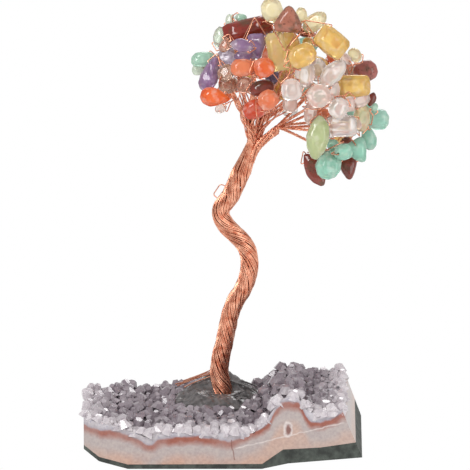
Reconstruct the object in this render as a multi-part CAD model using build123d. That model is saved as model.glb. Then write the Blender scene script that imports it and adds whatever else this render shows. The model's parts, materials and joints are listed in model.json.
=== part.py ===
from build123d import *
import math
import os
import random

import numpy as np

# Gemstone tree ornament.  Copper wires twist together as a trunk, part into three limbs and fan out
# as boughs.  From each bough thin twig wires run to stone chips and loop through their drilled holes.
# The foot of the trunk stands in a pad of dark glue on a sawn piece of geode.
# X runs to the right, Y to the back and Z up.  The origin is on the table, below the trunk.

# Photo frame: columns and rows of the 470 by 470 picture, and the size of a pixel at the tree
PIXEL_SIZE = 0.366
PHOTO_RISE_DEG = 19.0
FOOT_COLUMN_PX = 223.0
GROUND_ROW_PX = 436.5
UNDERSIDE_ROW_PX = 468.5

# Stone base
BASE_FRONT = 36.0
BASE_BACK = 18.0
RIGHT_END = 47.0
RIGHT_END_HEIGHT = 14.0
RIGHT_END_LEAN_DEG = 22.0
CORNER_LENGTH = 12.0
CORNER_DEPTH = 11.0
SMALL_CORNER_SHARE = 0.45
RIND_UNDER_PX = ((84, 453), (100, 461), (128, 468.5), (262, 468.5), (288, 463), (362, 457))
RIND_TOP_PX = ((84, 449), (100, 456.5), (128, 464), (262, 463.5), (283, 449), (320, 447), (362, 441))
AGATE_TOP_PX = ((84, 431), (119, 436), (139, 444), (149, 449), (165, 442), (236, 443), (257, 443),
                (271, 431), (281, 418), (288, 411), (298, 412), (306, 424), (315, 430), (333, 425),
                (362, 416))
CRUST_TOP_PX = ((84, 420), (122, 427), (146, 437), (158, 433), (254, 433), (268, 417), (279, 401),
                (288, 396), (298, 398), (306, 409), (316, 415), (333, 412), (362, 405))
SEAT_ROW_PX = 433.0
BACK_FALL = 7.5
BACK_FALL_SHARES = ((84, 0.65), (122, 0.4), (146, 0.0), (254, 0.0), (268, 0.35), (279, 0.8), (288, 1.0),
                    (298, 0.95), (306, 0.55), (316, 0.35), (333, 0.35), (362, 0.4))

# Druse crystals on the crust
CRYSTAL_PITCH = 5.0
CRYSTAL_HEIGHT = 4.0
CRYSTAL_ROOT = 0.8
CRYSTAL_EDGE_GAP = 0.25
CRYSTAL_RADIUS_SHARE = 0.43
CRYSTAL_DRIFT_SHARE = 0.05
CRYSTAL_SIDES = 6
CRYSTAL_WIDTH_SHARES = (0.8, 1.0)
CRYSTAL_HEIGHT_SHARES = (0.5, 1.0)
SHOULDER_SHARES = (0.25, 0.5)
POINT_DRIFT_SHARE = 0.35
FIRST_ROW_SHARE = 0.65
CRYSTAL_SEED = 7

# Glue pad and the root wires on it
PAD_REACH = 19.5
PAD_HEIGHT = 4.0
PAD_REACH_SHARES = (0.56, 0.52, 0.45, 0.42, 0.48, 0.68, 1.0, 0.93, 0.76, 0.66, 0.68, 0.62)
PAD_RING_SHARES = ((0.0, 1.0), (0.45, 0.8), (1.0, 0.56))
ROOT_RISE = 1.0
ROOT_LIFT_SHARE = 1.2
ROOT_RING_ENDS = ((5, 0.95), (6, 0.93), (7, 0.9), (8, 0.97), (10, 0.9), (0, 0.94))

# Copper wires
WIRE_DIAMETER = 0.4
WIRE_BEND = 0.38
BEND_RUN_SHARE = 0.45
STRAIGHT_DEG = 0.5
WIRE_GAP = 0.05
TRUNK_DIAMETER = 6.5
TRUNK_FLARE = 0.45
FLARE_POWER = 4
TRUNK_STRANDS = 14
TRUNK_STEPS = 32
TRUNK_TURNS = -2.0
STRAND_FILL_SHARE = 0.9
CORE_FILL_SHARE = 0.97
TRUNK_PX = ((219.5, 375), (220, 363), (222, 352), (225, 340), (228, 325), (231, 312), (236, 300),
            (243, 289), (247.7, 277), (249.5, 266), (248.8, 254), (243.5, 243), (235, 234), (226, 225),
            (221, 215), (222, 207), (226.5, 201), (231, 195), (235, 186), (239, 177), (244, 167),
            (248, 158), (252, 150))
BORE_GAP = 0.3
STRAY_ROWS_PX = (201, 187)
STRAY_STANDOFF = 1.8
BOUGH_DIAMETER = 1.12
BOUGH_BEND = 6.0
LIMB_TURN_SHARE = -0.35
LIMB_STEPS = 5
LIMB_LEAD = 3.0
HUB_LEAD = 0.5
HUB_LEAN_SHARE = 0.7
HUB_WIRES = 5
HUB_ROOM = 1.0
HUB_FAN = 2.5
LEAD_STEPS = (1, 2, 3)
BOW_SHARES = (0.2, 0.35, 0.55)
BOW_PLACE_SHARES = (0.5, 0.3, 0.7)
BOW_WAYS = 8

# Chips and their loops
CROWN_COLUMN_PX = 292.0
CROWN_ROW_PX = 92.0
CROWN_HALF_WIDTH_PX = 104.0
CROWN_HALF_HEIGHT_PX = 96.0
CROWN_DEPTH = 48.0
CHIP_LEAN_SHARE = 0.45
CHIP_FULL_SHARE = 1.085
HOLE_DIAMETER = 0.9
HOLE_SHARE = 0.3
LOOP_STANDOFF = 1.0
LOOP_DROP = 1.2
LOOP_DROP_STEP = 0.12
LOOP_DROP_TRIES = 50
LOOP_TAIL_SHARE = 0.72
CHIP_GAP = 0.4
CHIP_STEP = 0.5
CHIP_TRIES = 70
PROBE_COUNT = 300
SWING_DEG = 15.0

# Limbs: the pixel where each ends, its depth as a share of half the crown, and its bearing at the fork
LIMBS = {
    "left": ((250, 126), -0.05, 200.0),
    "middle": ((261, 121), 0.1, 80.0),
    "right": ((281, 127), -0.05, -40.0),
}

# Boughs: limb, pixel of the tip, and the tip's depth as a share of half the crown
BOUGHS = {
    "low_left": ("left", (238, 100), -0.1),
    "far_left": ("left", (224, 74), 0.0),
    "upper_left": ("left", (235, 48), 0.0),
    "left_top": ("left", (254, 43), -0.1),
    "middle_left": ("left", (254, 80), -0.2),
    "middle_low": ("left", (262, 106), -0.35),
    "back_left": ("left", (240, 76), 0.45),
    "top": ("middle", (286, 34), 0.0),
    "top_right": ("middle", (312, 43), 0.0),
    "centre": ("middle", (284, 66), -0.3),
    "front_right": ("middle", (306, 84), -0.35),
    "right_top": ("middle", (345, 68), 0.0),
    "back_top": ("middle", (278, 46), 0.45),
    "back_middle": ("middle", (292, 86), 0.5),
    "front_low": ("right", (312, 106), -0.4),
    "right": ("right", (346, 98), -0.1),
    "right_low": ("right", (356, 124), 0.0),
    "droop": ("right", (322, 132), -0.2),
    "droop_low": ("right", (336, 155), 0.0),
    "back_right": ("right", (332, 72), 0.45),
    "back_low": ("right", (338, 120), 0.45),
}

# Outlines of chips along their length and across, and how thick each form is for its width
FORM_SHARES = {
    "oval": ((-0.5, -0.12), (-0.42, -0.32), (-0.15, -0.48), (0.18, -0.47), (0.42, -0.3), (0.5, -0.08),
             (0.48, 0.18), (0.3, 0.41), (0.0, 0.5), (-0.3, 0.42), (-0.48, 0.16)),
    "block": ((-0.5, -0.36), (-0.42, -0.48), (0.0, -0.5), (0.4, -0.46), (0.49, -0.36), (0.5, 0.3),
              (0.42, 0.46), (0.0, 0.5), (-0.4, 0.49), (-0.5, 0.38)),
    "tri": ((-0.5, -0.34), (-0.42, -0.5), (-0.18, -0.48), (0.18, -0.32), (0.44, -0.12), (0.5, 0.02),
            (0.42, 0.14), (0.1, 0.36), (-0.22, 0.5), (-0.45, 0.46), (-0.5, 0.32)),
    "leaf": ((-0.5, -0.09), (-0.3, -0.36), (0.0, -0.5), (0.28, -0.4), (0.47, -0.14), (0.5, 0.06),
             (0.3, 0.37), (0.02, 0.5), (-0.28, 0.41), (-0.47, 0.14)),
    "drop": ((-0.5, -0.1), (-0.22, -0.33), (0.1, -0.48), (0.34, -0.43), (0.48, -0.2), (0.5, 0.1),
             (0.38, 0.37), (0.12, 0.5), (-0.2, 0.37), (-0.48, 0.12)),
    "nugget": ((-0.5, -0.2), (-0.37, -0.43), (-0.02, -0.5), (0.3, -0.44), (0.47, -0.22), (0.5, 0.14),
               (0.34, 0.42), (0.04, 0.5), (-0.3, 0.46), (-0.48, 0.2)),
}
FORM_THICK_SHARES = {"oval": 0.75, "block": 0.8, "tri": 0.6, "leaf": 0.55, "drop": 0.7, "nugget": 0.72}
CHIP_RING_SHARES = ((-0.5, 0.58), (-0.22, 1.0), (0.22, 1.0), (0.5, 0.58))
LAYER_SHARES = {"front": 1.0, "mid": 0.7, "behind": 0.35, "back": -0.75}

# Chips: stone, form, centre pixel, length and width in pixels, tilt of the tip in degrees, layer,
# bough, the way the hole runs, and the name of a chip that is free to rock
CHIPS = (
    ("carnelian", "drop", (215, 98), 27, 18, 172, "front", "low_left", "across", "left_carnelian_chip"),
    ("rose_quartz", "oval", (221, 109), 11, 8, 200, "behind", "low_left", "across", ""),
    ("rose_quartz", "nugget", (229, 86), 19, 14, 10, "mid", "low_left", "across", ""),
    ("aventurine", "nugget", (203, 60), 22, 14, 5, "mid", "far_left", "across", "left_aventurine_chip"),
    ("aventurine", "oval", (199, 70), 13, 11, 20, "mid", "far_left", "across", ""),
    ("amethyst", "drop", (210, 75), 33, 17, 250, "front", "far_left", "across", "left_amethyst_chip"),
    ("clear_quartz", "oval", (226, 74), 17, 14, 55, "mid", "far_left", "through", ""),
    ("clear_quartz", "leaf", (219, 38), 20, 11, 80, "behind", "upper_left", "across", ""),
    ("rose_quartz", "drop", (225, 46), 15, 10, 250, "mid", "upper_left", "across", ""),
    ("amethyst", "nugget", (227, 59), 22, 18, 60, "mid", "upper_left", "across", ""),
    ("aventurine", "oval", (230, 21), 12, 9, 80, "behind", "upper_left", "across", ""),
    ("aventurine", "oval", (241, 19), 11, 8, 170, "behind", "upper_left", "across", ""),
    ("red_jasper", "block", (248, 30), 46, 18, 14, "mid", "left_top", "through", ""),
    ("amethyst", "leaf", (242, 47), 21, 12, 170, "front", "left_top", "across", ""),
    ("amethyst", "tri", (257, 48), 24, 16, 275, "front", "left_top", "across", ""),
    ("amethyst", "leaf", (246, 57), 22, 11, 4, "mid", "left_top", "through", ""),
    ("carnelian", "nugget", (243, 69), 23, 16, 2, "front", "middle_left", "across", ""),
    ("carnelian", "nugget", (264, 69), 19, 18, 20, "front", "middle_left", "across", ""),
    ("rose_quartz", "nugget", (245, 86), 16, 15, 0, "mid", "middle_left", "through", ""),
    ("amethyst", "oval", (272, 78), 15, 12, 80, "behind", "middle_left", "across", ""),
    ("red_jasper", "nugget", (262, 89), 22, 14, 10, "mid", "middle_low", "across", ""),
    ("carnelian", "nugget", (268, 101), 19, 18, 40, "front", "middle_low", "across", ""),
    ("carnelian", "oval", (255, 110), 23, 18, 25, "front", "middle_low", "across", ""),
    ("pale_citrine", "oval", (272, 12), 23, 20, 110, "mid", "top", "across", "top_citrine_chip"),
    ("brown_jasper", "tri", (288, 21), 24, 25.5, 84, "front", "top", "across", ""),
    ("pale_citrine", "oval", (301, 17), 15, 11, 95, "behind", "top", "across", ""),
    ("red_jasper", "leaf", (305, 34), 18, 9, 172, "behind", "top", "across", ""),
    ("pale_citrine", "oval", (314, 24), 25, 15, 38, "mid", "top_right", "across", "upper_citrine_chip"),
    ("golden_citrine", "oval", (307, 43), 10, 9, 30, "behind", "top_right", "across", ""),
    ("golden_citrine", "block", (331, 44), 30.5, 22.5, 322, "front", "top_right", "across",
     "right_citrine_chip"),
    ("golden_citrine", "leaf", (283, 86), 28, 19, 95, "behind", "centre", "across", ""),
    ("pale_citrine", "block", (277, 53), 36, 18, 102, "front", "centre", "across", ""),
    ("golden_citrine", "nugget", (288, 46), 23, 20, 60, "front", "centre", "through", ""),
    ("golden_citrine", "nugget", (302, 57), 26, 21, 30, "front", "centre", "across", ""),
    ("clear_quartz", "leaf", (332, 75), 33, 18, 48, "front", "front_right", "across", ""),
    ("clear_quartz", "nugget", (304, 76), 24, 18, 80, "front", "front_right", "across", ""),
    ("clear_quartz", "nugget", (317, 71), 22, 17, 95, "mid", "front_right", "across", ""),
    ("clear_quartz", "nugget", (291, 91), 20, 19, 100, "front", "front_right", "across", ""),
    ("pale_citrine", "oval", (354, 56), 14, 12, 315, "mid", "right_top", "across", ""),
    ("rose_quartz", "oval", (345, 60), 12, 9, 315, "mid", "right_top", "through", ""),
    ("brown_jasper", "nugget", (365, 72), 22, 19, 20, "mid", "right_top", "across", "right_jasper_chip"),
    ("rose_quartz", "oval", (350, 71), 13, 11, 0, "behind", "right_top", "across", ""),
    ("rose_quartz", "nugget", (290, 105), 16, 13, 80, "mid", "front_low", "across", ""),
    ("rose_quartz", "oval", (318, 97), 22, 22, 45, "front", "front_low", "across", ""),
    ("rose_quartz", "leaf", (331, 93), 23, 15, 70, "mid", "front_low", "across", ""),
    ("rose_quartz", "leaf", (310, 113), 25, 12, 262, "mid", "front_low", "across", ""),
    ("carnelian", "oval", (323, 114), 14, 9, 0, "behind", "front_low", "across", ""),
    ("golden_citrine", "block", (353, 87), 30, 20, 4, "front", "right", "across", ""),
    ("rose_quartz", "nugget", (360, 100), 18, 14, 25, "front", "right", "across", ""),
    ("clear_quartz", "nugget", (338, 109), 20, 18, 60, "front", "right", "across", ""),
    ("rose_quartz", "block", (349, 105), 14, 9, 95, "front", "right", "across", ""),
    ("red_jasper", "leaf", (371, 100), 14, 9, 70, "behind", "right", "across", ""),
    ("pale_citrine", "oval", (361, 118), 25, 16, 85, "mid", "right_low", "across", ""),
    ("rose_quartz", "oval", (356, 125), 11, 10, 300, "mid", "right_low", "across", ""),
    ("aventurine", "nugget", (377, 120), 22, 19, 0, "mid", "right_low", "across",
     "right_aventurine_chip"),
    ("aventurine", "drop", (368, 137), 25, 14, 285, "mid", "right_low", "across", ""),
    ("aventurine", "oval", (374, 108), 9, 7, 80, "behind", "right_low", "across", ""),
    ("clear_quartz", "block", (341, 127), 28, 19, 4, "front", "droop", "across", ""),
    ("aventurine", "leaf", (317, 138), 41, 21, 262, "front", "droop", "across", ""),
    ("aventurine", "oval", (333, 146), 14, 11, 310, "behind", "droop", "across", ""),
    ("red_jasper", "leaf", (346, 141), 12, 8, 10, "behind", "droop", "across", ""),
    ("aventurine", "tri", (358, 152), 22, 20, 300, "front", "droop_low", "through", ""),
    ("aventurine", "nugget", (343, 152), 17, 15, 10, "front", "droop_low", "through", ""),
    ("aventurine", "oval", (328, 166), 26, 23, 250, "front", "droop_low", "across", "low_aventurine_chip"),
    ("red_jasper", "leaf", (314, 170), 34, 17, 300, "mid", "droop_low", "across", ""),
    ("red_jasper", "tri", (348, 169), 20, 17, 275, "mid", "droop_low", "across", "low_jasper_chip"),
    ("amethyst", "nugget", (216, 66), 24, 18, 150, "back", "back_left", "across", ""),
    ("carnelian", "drop", (227, 92), 22, 16, 215, "back", "back_left", "across", ""),
    ("clear_quartz", "oval", (236, 48), 22, 16, 110, "back", "back_left", "across", ""),
    ("golden_citrine", "nugget", (250, 70), 22, 18, 60, "back", "back_left", "across", ""),
    ("amethyst", "oval", (262, 32), 24, 18, 120, "back", "back_top", "across", ""),
    ("clear_quartz", "nugget", (284, 24), 24, 18, 80, "back", "back_top", "across", ""),
    ("aventurine", "oval", (306, 46), 24, 17, 20, "back", "back_top", "across", ""),
    ("carnelian", "nugget", (272, 56), 22, 19, 250, "back", "back_top", "across", ""),
    ("amethyst", "nugget", (270, 88), 22, 18, 200, "back", "back_middle", "across", ""),
    ("golden_citrine", "oval", (292, 72), 24, 19, 90, "back", "back_middle", "across", ""),
    ("aventurine", "nugget", (312, 92), 23, 18, 340, "back", "back_middle", "across", ""),
    ("clear_quartz", "drop", (290, 106), 22, 16, 265, "back", "back_middle", "across", ""),
    ("carnelian", "oval", (336, 52), 23, 18, 80, "back", "back_right", "across", ""),
    ("clear_quartz", "nugget", (354, 74), 23, 18, 10, "back", "back_right", "across", ""),
    ("golden_citrine", "nugget", (318, 66), 22, 17, 150, "back", "back_right", "across", ""),
    ("amethyst", "oval", (338, 88), 22, 17, 270, "back", "back_right", "across", ""),
    ("aventurine", "oval", (360, 112), 24, 17, 10, "back", "back_low", "across", ""),
    ("golden_citrine", "nugget", (342, 138), 22, 18, 280, "back", "back_low", "across", ""),
    ("amethyst", "drop", (322, 118), 22, 16, 190, "back", "back_low", "across", ""),
    ("carnelian", "nugget", (346, 104), 20, 16, 60, "back", "back_low", "across", ""),
)

# Derived values
RISE = math.radians(PHOTO_RISE_DEG)
RIGHT = np.array((1.0, 0.0, 0.0))
UP_IN_PHOTO = np.array((0.0, math.sin(RISE), math.cos(RISE)))
TO_VIEWER = np.array((0.0, -math.cos(RISE), math.sin(RISE)))
BASE_DEPTH = BASE_FRONT + BASE_BACK
WIRE_RADIUS = WIRE_DIAMETER / 2
BOUGH_RADIUS = BOUGH_DIAMETER / 2
BOUGH_PITCH = BOUGH_DIAMETER + WIRE_GAP
LIMB_RADIUS = BOUGH_PITCH + BOUGH_RADIUS
TRUNK_RADIUS = TRUNK_DIAMETER / 2
STRAND_SINE = math.sin(math.pi / TRUNK_STRANDS)
STRAND_RING = TRUNK_RADIUS / (1 + STRAND_SINE)
STRAND_RADIUS = STRAND_RING * STRAND_SINE * STRAND_FILL_SHARE
CORE_RADIUS = STRAND_RING * CORE_FILL_SHARE - STRAND_RADIUS - WIRE_GAP
FORK_RING = LIMB_RADIUS / math.sin(math.pi / len(LIMBS))


def unit(vector):
    return vector / np.linalg.norm(vector)


def from_photo(column, row, back):
    """Point that shows at a pixel of the photo, at a depth behind the trunk."""
    x = (column - FOOT_COLUMN_PX) * PIXEL_SIZE
    z = ((GROUND_ROW_PX - row) * PIXEL_SIZE - back * math.sin(RISE)) / math.cos(RISE)
    return np.array((x, back, z))


def on_front(column, row):
    """Point of the sawn front face that shows at a pixel of the photo."""
    x = (column - FOOT_COLUMN_PX) * PIXEL_SIZE
    z = (UNDERSIDE_ROW_PX - row) * PIXEL_SIZE / math.cos(RISE)
    return np.array((x, -BASE_FRONT, z))


SEAT_HEIGHT = on_front(FOOT_COLUMN_PX, SEAT_ROW_PX)[2]


def polygon(points):
    return Face(Wire.make_polygon([tuple(point) for point in points]))


def faceted(rings, tip=None):
    """Flat-sided solid through rings of points, closed by a flat end or a tip."""
    faces = [polygon(rings[0])]
    for low, high in zip(rings, rings[1:]):
        for start in range(len(low)):
            end = (start + 1) % len(low)
            faces.append(polygon((low[start], low[end], high[end], high[start])))
    last = rings[-1]
    if tip is None:
        faces.append(polygon(last))
    else:
        for start in range(len(last)):
            faces.append(polygon((last[start], last[(start + 1) % len(last)], tip)))
    return Solid(Shell(faces))


def ruled(front, back):
    """Solid between two rings of points, with two triangles for each side."""
    faces = [polygon(front), polygon(back)]
    for start in range(len(front)):
        end = (start + 1) % len(front)
        low, high = (start, end) if front[start][0] < front[end][0] else (end, start)
        faces.append(polygon((front[low], front[high], back[high])))
        faces.append(polygon((front[low], back[high], back[low])))
    return Solid(Shell(faces))


def bend_radii(points, bend):
    """Radius of the arc at each corner of a line: the wanted bend, or what its runs have room for."""
    bends = []
    for before, corner, after in zip(points, points[1:], points[2:]):
        cosine = unit(corner - before).dot(unit(after - corner))
        half_turn = math.acos(max(-1.0, min(1.0, cosine))) / 2
        run = min(np.linalg.norm(corner - before), np.linalg.norm(after - corner))
        room = BEND_RUN_SHARE * run / math.tan(half_turn) if half_turn else bend
        bends.append(min(bend, room))
    return bends


def bent_wire(points, radius, bend):
    """Round wire along straight runs that are joined by tangent arcs."""
    kept = [points[0]]
    for corner, after in zip(points[1:], points[2:]):
        if unit(corner - kept[-1]).dot(unit(after - corner)) < math.cos(math.radians(STRAIGHT_DEG)):
            kept.append(corner)
    kept.append(points[-1])
    bends = bend_radii(kept, bend)
    corners = [tuple(point) for point in kept]
    path = FilletPolyline(*corners, radius=bends) if bends else Line(*corners)
    section = Plane(origin=path @ 0, z_dir=path % 0) * Circle(radius)
    return sweep(section, path=path)


def stations(points, count):
    """Places, directions and steady side axes along a smooth line through points."""
    ends = [tuple(points[1] - points[0]), tuple(points[-1] - points[-2])]
    line = Spline(*[tuple(point) for point in points], tangents=ends)
    side = RIGHT
    rows = []
    for step in range(count + 1):
        place = np.array(tuple(line @ (step / count)))
        ahead = unit(np.array(tuple(line % (step / count))))
        side = unit(side - ahead * side.dot(ahead))
        rows.append((place, ahead, side, np.cross(ahead, side)))
    return rows


def bearing(row, point):
    """Angle of a point round a station's direction."""
    place, ahead, side, across = row
    return math.atan2((point - place).dot(across), (point - place).dot(side))


def at_bearing(row, reach, angle):
    place, ahead, side, across = row
    return place + reach * (math.cos(angle) * side + math.sin(angle) * across)


def wound(rows, reach, end_angle, twist):
    """Points of a strand that winds along stations and ends at an angle."""
    last = len(rows) - 1
    return [at_bearing(row, reach(step / last), end_angle - twist * (1 - step / last))
            for step, row in enumerate(rows)]


def run_on(points):
    """Points with the line run on a little before its start and past its end."""
    return [2 * points[0] - points[1]] + points + [2 * points[-1] - points[-2]]


def ended(wire, row, side):
    """Wire with a flat end across a station."""
    plane = Plane(tuple(row[0]), z_dir=tuple(row[1]))
    return split(wire, bisect_by=plane, keep=side).solid()


def even_slots(angles):
    """Evenly spread angles, in the same order round the circle and as near as they can be."""
    order = sorted(range(len(angles)), key=lambda index: angles[index])
    pitch = math.tau / len(angles)
    turns = [angles[index] - place * pitch for place, index in enumerate(order)]
    mean = math.atan2(sum(math.sin(turn) for turn in turns), sum(math.cos(turn) for turn in turns))
    slots = [0.0] * len(angles)
    for place, index in enumerate(order):
        slots[index] = mean + place * pitch
    return slots


# Stone base


def trimmed(stone):
    """Stone with its leaning right end and broken corners."""
    lean = math.radians(RIGHT_END_LEAN_DEG)
    small_length = CORNER_LENGTH * SMALL_CORNER_SHARE
    small_depth = CORNER_DEPTH * SMALL_CORNER_SHARE
    left = on_front(RIND_UNDER_PX[0][0], SEAT_ROW_PX)[0]
    planes = (
        Plane((RIGHT_END, 0, RIGHT_END_HEIGHT), z_dir=(math.cos(lean), 0, math.sin(lean))),
        Plane((left + CORNER_LENGTH, BASE_BACK, 0), z_dir=(-CORNER_DEPTH, CORNER_LENGTH, 0)),
        Plane((left, small_depth - BASE_FRONT, 0), z_dir=(-small_depth, -small_length, 0)),
        Plane((RIGHT_END - small_length, BASE_BACK, 0), z_dir=(small_depth, small_length, 0)),
    )
    for plane in planes:
        stone = split(stone, bisect_by=plane, keep=Keep.BOTTOM)
    return stone.solid()


def on_back(point):
    """Point of the back face on the same layer as a point of the front, lower where the stone falls."""
    columns = [on_front(column, SEAT_ROW_PX)[0] for column, share in BACK_FALL_SHARES]
    share = np.interp(point[0], columns, [share for column, share in BACK_FALL_SHARES])
    return point + np.array((0, BASE_DEPTH, -share * BACK_FALL))


def level(point):
    """Point of the back face straight behind a point of the front."""
    return point + np.array((0, BASE_DEPTH, 0))


def stone_layer(under, top, under_back, top_back):
    """Layer of the geode between two lines that are drawn on its front face."""
    low = [on_front(*pixel) for pixel in under]
    high = [on_front(*pixel) for pixel in reversed(top)]
    back = [under_back(point) for point in low] + [top_back(point) for point in high]
    return trimmed(ruled(low + high, back))


def crust_height(x, y):
    """Height of the crust's top, on the triangles that it is made of."""
    front = [on_front(*pixel) for pixel in CRUST_TOP_PX]
    right = next((k for k in range(1, len(front) - 1) if front[k][0] > x), len(front) - 1)
    low, high = front[right - 1], front[right]
    low_back, high_back = on_back(low), on_back(high)
    along = (x - low[0]) / (high[0] - low[0])
    deep = (y + BASE_FRONT) / BASE_DEPTH
    if along > deep:
        return low[2] + along * (high[2] - low[2]) + deep * (high_back[2] - high[2])
    return low[2] + deep * (low_back[2] - low[2]) + along * (high_back[2] - low_back[2])


def inside_top(x, y, margin):
    """Whether a place on the crust is a margin inside its edges and clear of the glue pad."""
    lean = math.radians(RIGHT_END_LEAN_DEG)
    left = on_front(RIND_UNDER_PX[0][0], SEAT_ROW_PX)[0]
    right = RIGHT_END - (crust_height(x, y) + CRYSTAL_HEIGHT - RIGHT_END_HEIGHT) * math.tan(lean)
    corner = math.hypot(CORNER_LENGTH, CORNER_DEPTH)
    back_left = ((x - left) * CORNER_DEPTH + (BASE_BACK - y) * CORNER_LENGTH) / corner
    front_left = ((x - left) * CORNER_DEPTH + (y + BASE_FRONT) * CORNER_LENGTH) / corner
    back_right = ((RIGHT_END - x) * CORNER_DEPTH + (BASE_BACK - y) * CORNER_LENGTH) / corner
    cut = CORNER_LENGTH * CORNER_DEPTH / corner
    if min(x - left, right - x, y + BASE_FRONT, BASE_BACK - y) < margin:
        return False
    if back_left < cut + margin or min(front_left, back_right) < cut * SMALL_CORNER_SHARE + margin:
        return False
    return math.hypot(x, y) > pad_reach(math.atan2(y, x)) + margin


def crystal(x, y, radius, height, chance):
    """Six-sided quartz point with its foot sunk in the crust."""
    surface = crust_height(x, y)
    foot = min(crust_height(x + a * radius, y + b * radius) for a in (-1, 1) for b in (-1, 1)) - CRYSTAL_ROOT
    turn = chance.uniform(0, math.tau)
    turns = [turn + k * math.tau / CRYSTAL_SIDES for k in range(CRYSTAL_SIDES)]
    corners = [(math.cos(turn), math.sin(turn)) for turn in turns]
    shoulder = surface + height * chance.uniform(*SHOULDER_SHARES)
    rings = [[(x + radius * c, y + radius * s, z) for c, s in corners] for z in (foot, shoulder)]
    drift = radius * POINT_DRIFT_SHARE
    tip = (x + chance.uniform(-drift, drift), y + chance.uniform(-drift, drift), surface + height)
    return faceted(rings, tip)


def amethyst_points():
    """Druse of points in staggered rows over the crust, none where the glue is."""
    chance = random.Random(CRYSTAL_SEED)
    row_pitch = CRYSTAL_PITCH * math.sqrt(3) / 2
    rows = math.ceil(BASE_DEPTH / row_pitch)
    left = on_front(RIND_UNDER_PX[0][0], SEAT_ROW_PX)[0]
    columns = math.ceil((RIGHT_END - left) / CRYSTAL_PITCH)
    drift = CRYSTAL_DRIFT_SHARE * CRYSTAL_PITCH
    points = []
    for row in range(rows):
        for column in range(columns):
            x = left + (column + FIRST_ROW_SHARE + (row % 2) / 2) * CRYSTAL_PITCH
            x = x + chance.uniform(-drift, drift)
            y = (row + FIRST_ROW_SHARE) * row_pitch - BASE_FRONT + chance.uniform(-drift, drift)
            radius = CRYSTAL_PITCH * CRYSTAL_RADIUS_SHARE * chance.uniform(*CRYSTAL_WIDTH_SHARES)
            height = CRYSTAL_HEIGHT * chance.uniform(*CRYSTAL_HEIGHT_SHARES)
            if inside_top(x, y, radius + CRYSTAL_EDGE_GAP):
                points.append(crystal(x, y, radius, height, chance))
    return points


# Foot


def pad_reach(angle):
    """Reach of the glue from the trunk's axis at an angle."""
    bearings = [k * math.tau / len(PAD_REACH_SHARES) for k in range(len(PAD_REACH_SHARES) + 1)]
    shares = PAD_REACH_SHARES + PAD_REACH_SHARES[:1]
    return PAD_REACH * float(np.interp(angle % math.tau, bearings, shares))


def pad_point(corner, height_share, ring_share):
    angle = corner * math.tau / len(PAD_REACH_SHARES)
    reach = PAD_REACH * PAD_REACH_SHARES[corner] * ring_share
    z = SEAT_HEIGHT + PAD_HEIGHT * height_share
    return np.array((reach * math.cos(angle), reach * math.sin(angle), z))


def glue_pad():
    """Low mound of glue round the foot, with the trunk's socket through it."""
    rings = [[pad_point(corner, *ring) for corner in range(len(PAD_REACH_SHARES))]
             for ring in PAD_RING_SHARES]
    foot_radius = TRUNK_RADIUS + TRUNK_FLARE + BORE_GAP
    bore = Cylinder(foot_radius, 3 * PAD_HEIGHT).moved(Location((0, 0, SEAT_HEIGHT)))
    return faceted(rings) - bore


def root_wire(corner, end_share):
    """Wire that leaves the trunk and lies down the glue."""
    lift = np.array((0, 0, WIRE_RADIUS + WIRE_GAP))
    out = unit(pad_point(corner, 0, 1) * np.array((1, 1, 0)))
    brow = pad_point(corner, *PAD_RING_SHARES[2]) + lift
    slope = pad_point(corner, *PAD_RING_SHARES[1]) + lift * ROOT_LIFT_SHARE
    edge = pad_point(corner, *PAD_RING_SHARES[0]) + lift * ROOT_LIFT_SHARE
    side = out * (TRUNK_RADIUS + TRUNK_FLARE + WIRE_DIAMETER + WIRE_GAP)
    foot = side + np.array((0, 0, brow[2]))
    start = foot + np.array((0, 0, ROOT_RISE))
    return bent_wire([start, foot, brow, slope, slope + (edge - slope) * end_share], WIRE_RADIUS, WIRE_BEND)


# Trunk and boughs


def trunk_rows():
    foot = np.array((0, 0, SEAT_HEIGHT))
    first = np.array((0, 0, SEAT_HEIGHT + PAD_HEIGHT))
    return stations([foot, first] + [from_photo(*pixel, 0) for pixel in TRUNK_PX], TRUNK_STEPS)


def strand_reach(share):
    """Distance of the outer strands from the trunk's line: wider at the foot and at the fork."""
    return STRAND_RING + TRUNK_FLARE * abs(2 * share - 1) ** FLARE_POWER


def trunk_wire(rows, points, radius):
    """Wire that runs the whole trunk, flat where it meets the stone and the fork."""
    whole = bent_wire(run_on(points), radius, BOUGH_BEND)
    return ended(ended(whole, rows[0], Keep.TOP), rows[-1], Keep.BOTTOM)


def trunk_strands(rows):
    angles = [k * math.tau / TRUNK_STRANDS for k in range(TRUNK_STRANDS)]
    twist = TRUNK_TURNS * math.tau
    return [trunk_wire(rows, wound(rows, strand_reach, angle, twist), STRAND_RADIUS) for angle in angles]


def trunk_core(rows):
    return trunk_wire(rows, [row[0] for row in rows], CORE_RADIUS)


def bough(rows, line):
    """Bough that is flat where it meets the fork."""
    whole = bent_wire([2 * line[0] - line[1]] + line, BOUGH_RADIUS, BOUGH_BEND)
    return ended(whole, rows[-1], Keep.TOP)


def stray_loop(rows):
    """Bow of one wire that stands off the trunk's left side."""
    heights = [from_photo(FOOT_COLUMN_PX, row, 0)[2] for row in STRAY_ROWS_PX]
    ends = [min(rows, key=lambda row: abs(row[0][2] - height)) for height in heights]
    near = TRUNK_RADIUS + WIRE_RADIUS + WIRE_GAP
    points = []
    for row, reach in ((ends[0], near), (ends[0], near + STRAY_STANDOFF),
                       (ends[1], near + STRAY_STANDOFF), (ends[1], near)):
        left = unit(-RIGHT + row[1] * row[1].dot(RIGHT))
        points.append(row[0] + left * reach)
    return bent_wire(points, WIRE_RADIUS, STRAY_STANDOFF)


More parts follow.
